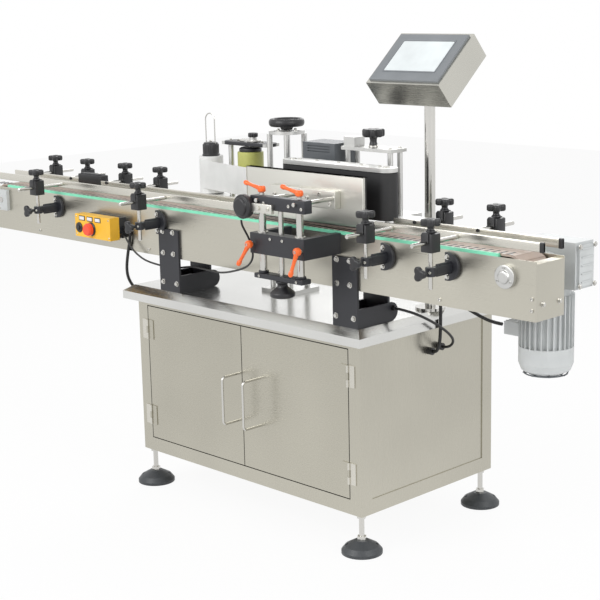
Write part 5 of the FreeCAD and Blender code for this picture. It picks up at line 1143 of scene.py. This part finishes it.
dress("base_screws", "head_frame", bright_steel,
      repeated(socket_screw(6, 5), [(x, y, HEAD_BASE_TOP) for x, y in base_places]))
column_places = [(-73, -50), (3, -50), (-35, -12), (-35, -88)]
dress("column_screws", "head_column", bright_steel,
      repeated(socket_screw(5, 4), [(x, y, 1190) for x, y in column_places]))
post_ring = lathe([(10.6, 0), (16, 0), (16, 3), (10.6, 3), (10.6, 0)], sides=32)
dress("bracket_screws", "press_bracket", bright_steel,
      repeated(along_y(socket_screw(4.5, 3.5)), [(x, -447, 935) for x in (300, 349)]),
      at_posts(post_ring, 947))
dress("arm_screws", "head_frame", bright_steel,
      repeated(socket_screw(5.5, 4), [(x, y, 1160) for x in (246, 416) for y in (-71, -29)]))
print("head screws", 5 + len(base_places) + len(column_places) + 4)

# %% [markdown]
# The gear motor's fan cover has a grille of rings on its lower end, and its terminal box a ribbed lid. The
# gearbox cover is held by a bolt in each corner.

# %% gear motor details
MOTOR_PLACE = (984, -85)
GRILLE_RADII = (20, 32, 44, 56)
rings = [lathe([(r, 0), (r + 4, 0), (r + 4, 2.5), (r, 2.5), (r, 0)], sides=48) for r in GRILLE_RADII]
spars = [turn(block((8, -2, 0), (62, 2, 2.5), 0.8), (0, 0, 1), 45 * k) for k in range(8)]
grille = joined(*rings, *spars, bar(10, 0, 3, 0.6))
dress("fan_grille", "gear_motor", dark_cast, moved(grille, *MOTOR_PLACE, 595.6))
lid_rib = block((-28, -2.5, 0), (28, 2.5, 3.5), 1.0)
dress("terminal_ribs", "gear_motor", grey_cast,
      repeated(lid_rib, [(894, y, 724) for y in (-105, -93, -81, -69)]))
corners = [(1110.4, y, z) for y in (-118, -52) for z in (852, 956)]
dress("cover_bolts", "gearbox", bright_steel, repeated(along_x(hex_head(5.5, 3)), corners))
print("grille rings", len(rings), "cover bolts", len(corners))

# %% [markdown]
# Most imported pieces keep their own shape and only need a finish. The table names one for each of them.
# Folded sheet, blocks and castings look right as they are, because their edges really are crisp.

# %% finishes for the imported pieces
FINISHES = {
    "cabinet_frame": cabinet_steel, "cabinet_panels": cabinet_steel, "worktop": top_steel,
    "left_door": door_steel, "right_door": door_steel, "left_door_handle": bright_steel,
    "right_door_handle": bright_steel, "hinge_frame_leaves": rail_steel, "foot_pads": pad_plastic,
    "foot_spindles": bright_steel, "conveyor_frame": conveyor_steel, "wear_strips": green_plastic,
    "conveyor_chain": chain_plastic, "drive_shaft": bright_steel, "idler_shaft": bright_steel,
    "bearing_flanges": grey_cast, "conveyor_supports": black_coat, "gearbox": grey_cast,
    "gear_motor": grey_cast, "control_box": yellow_coat, "control_box_spacer": black_coat,
    "stop_button": red_plastic, "start_button": black_plastic, "press_bracket": black_coat,
    "head_column": clear_aluminium, "head_frame": clear_aluminium, "wrap_belt": belt_rubber,
    "wrap_drive_roller": bright_steel, "wrap_idler_roller": bright_steel, "label_web": web_paper,
    "belt_drive_housing": dark_cast, "panel_case": case_steel, "touch_panel": bezel_plastic,
    "panel_pole": bright_steel, "cable_glands": black_plastic,
}
for name, material in FINISHES.items():
    for slot in nodes[name].material_slots:
        slot.material = material
print("packed pieces with a finish", len(FINISHES))
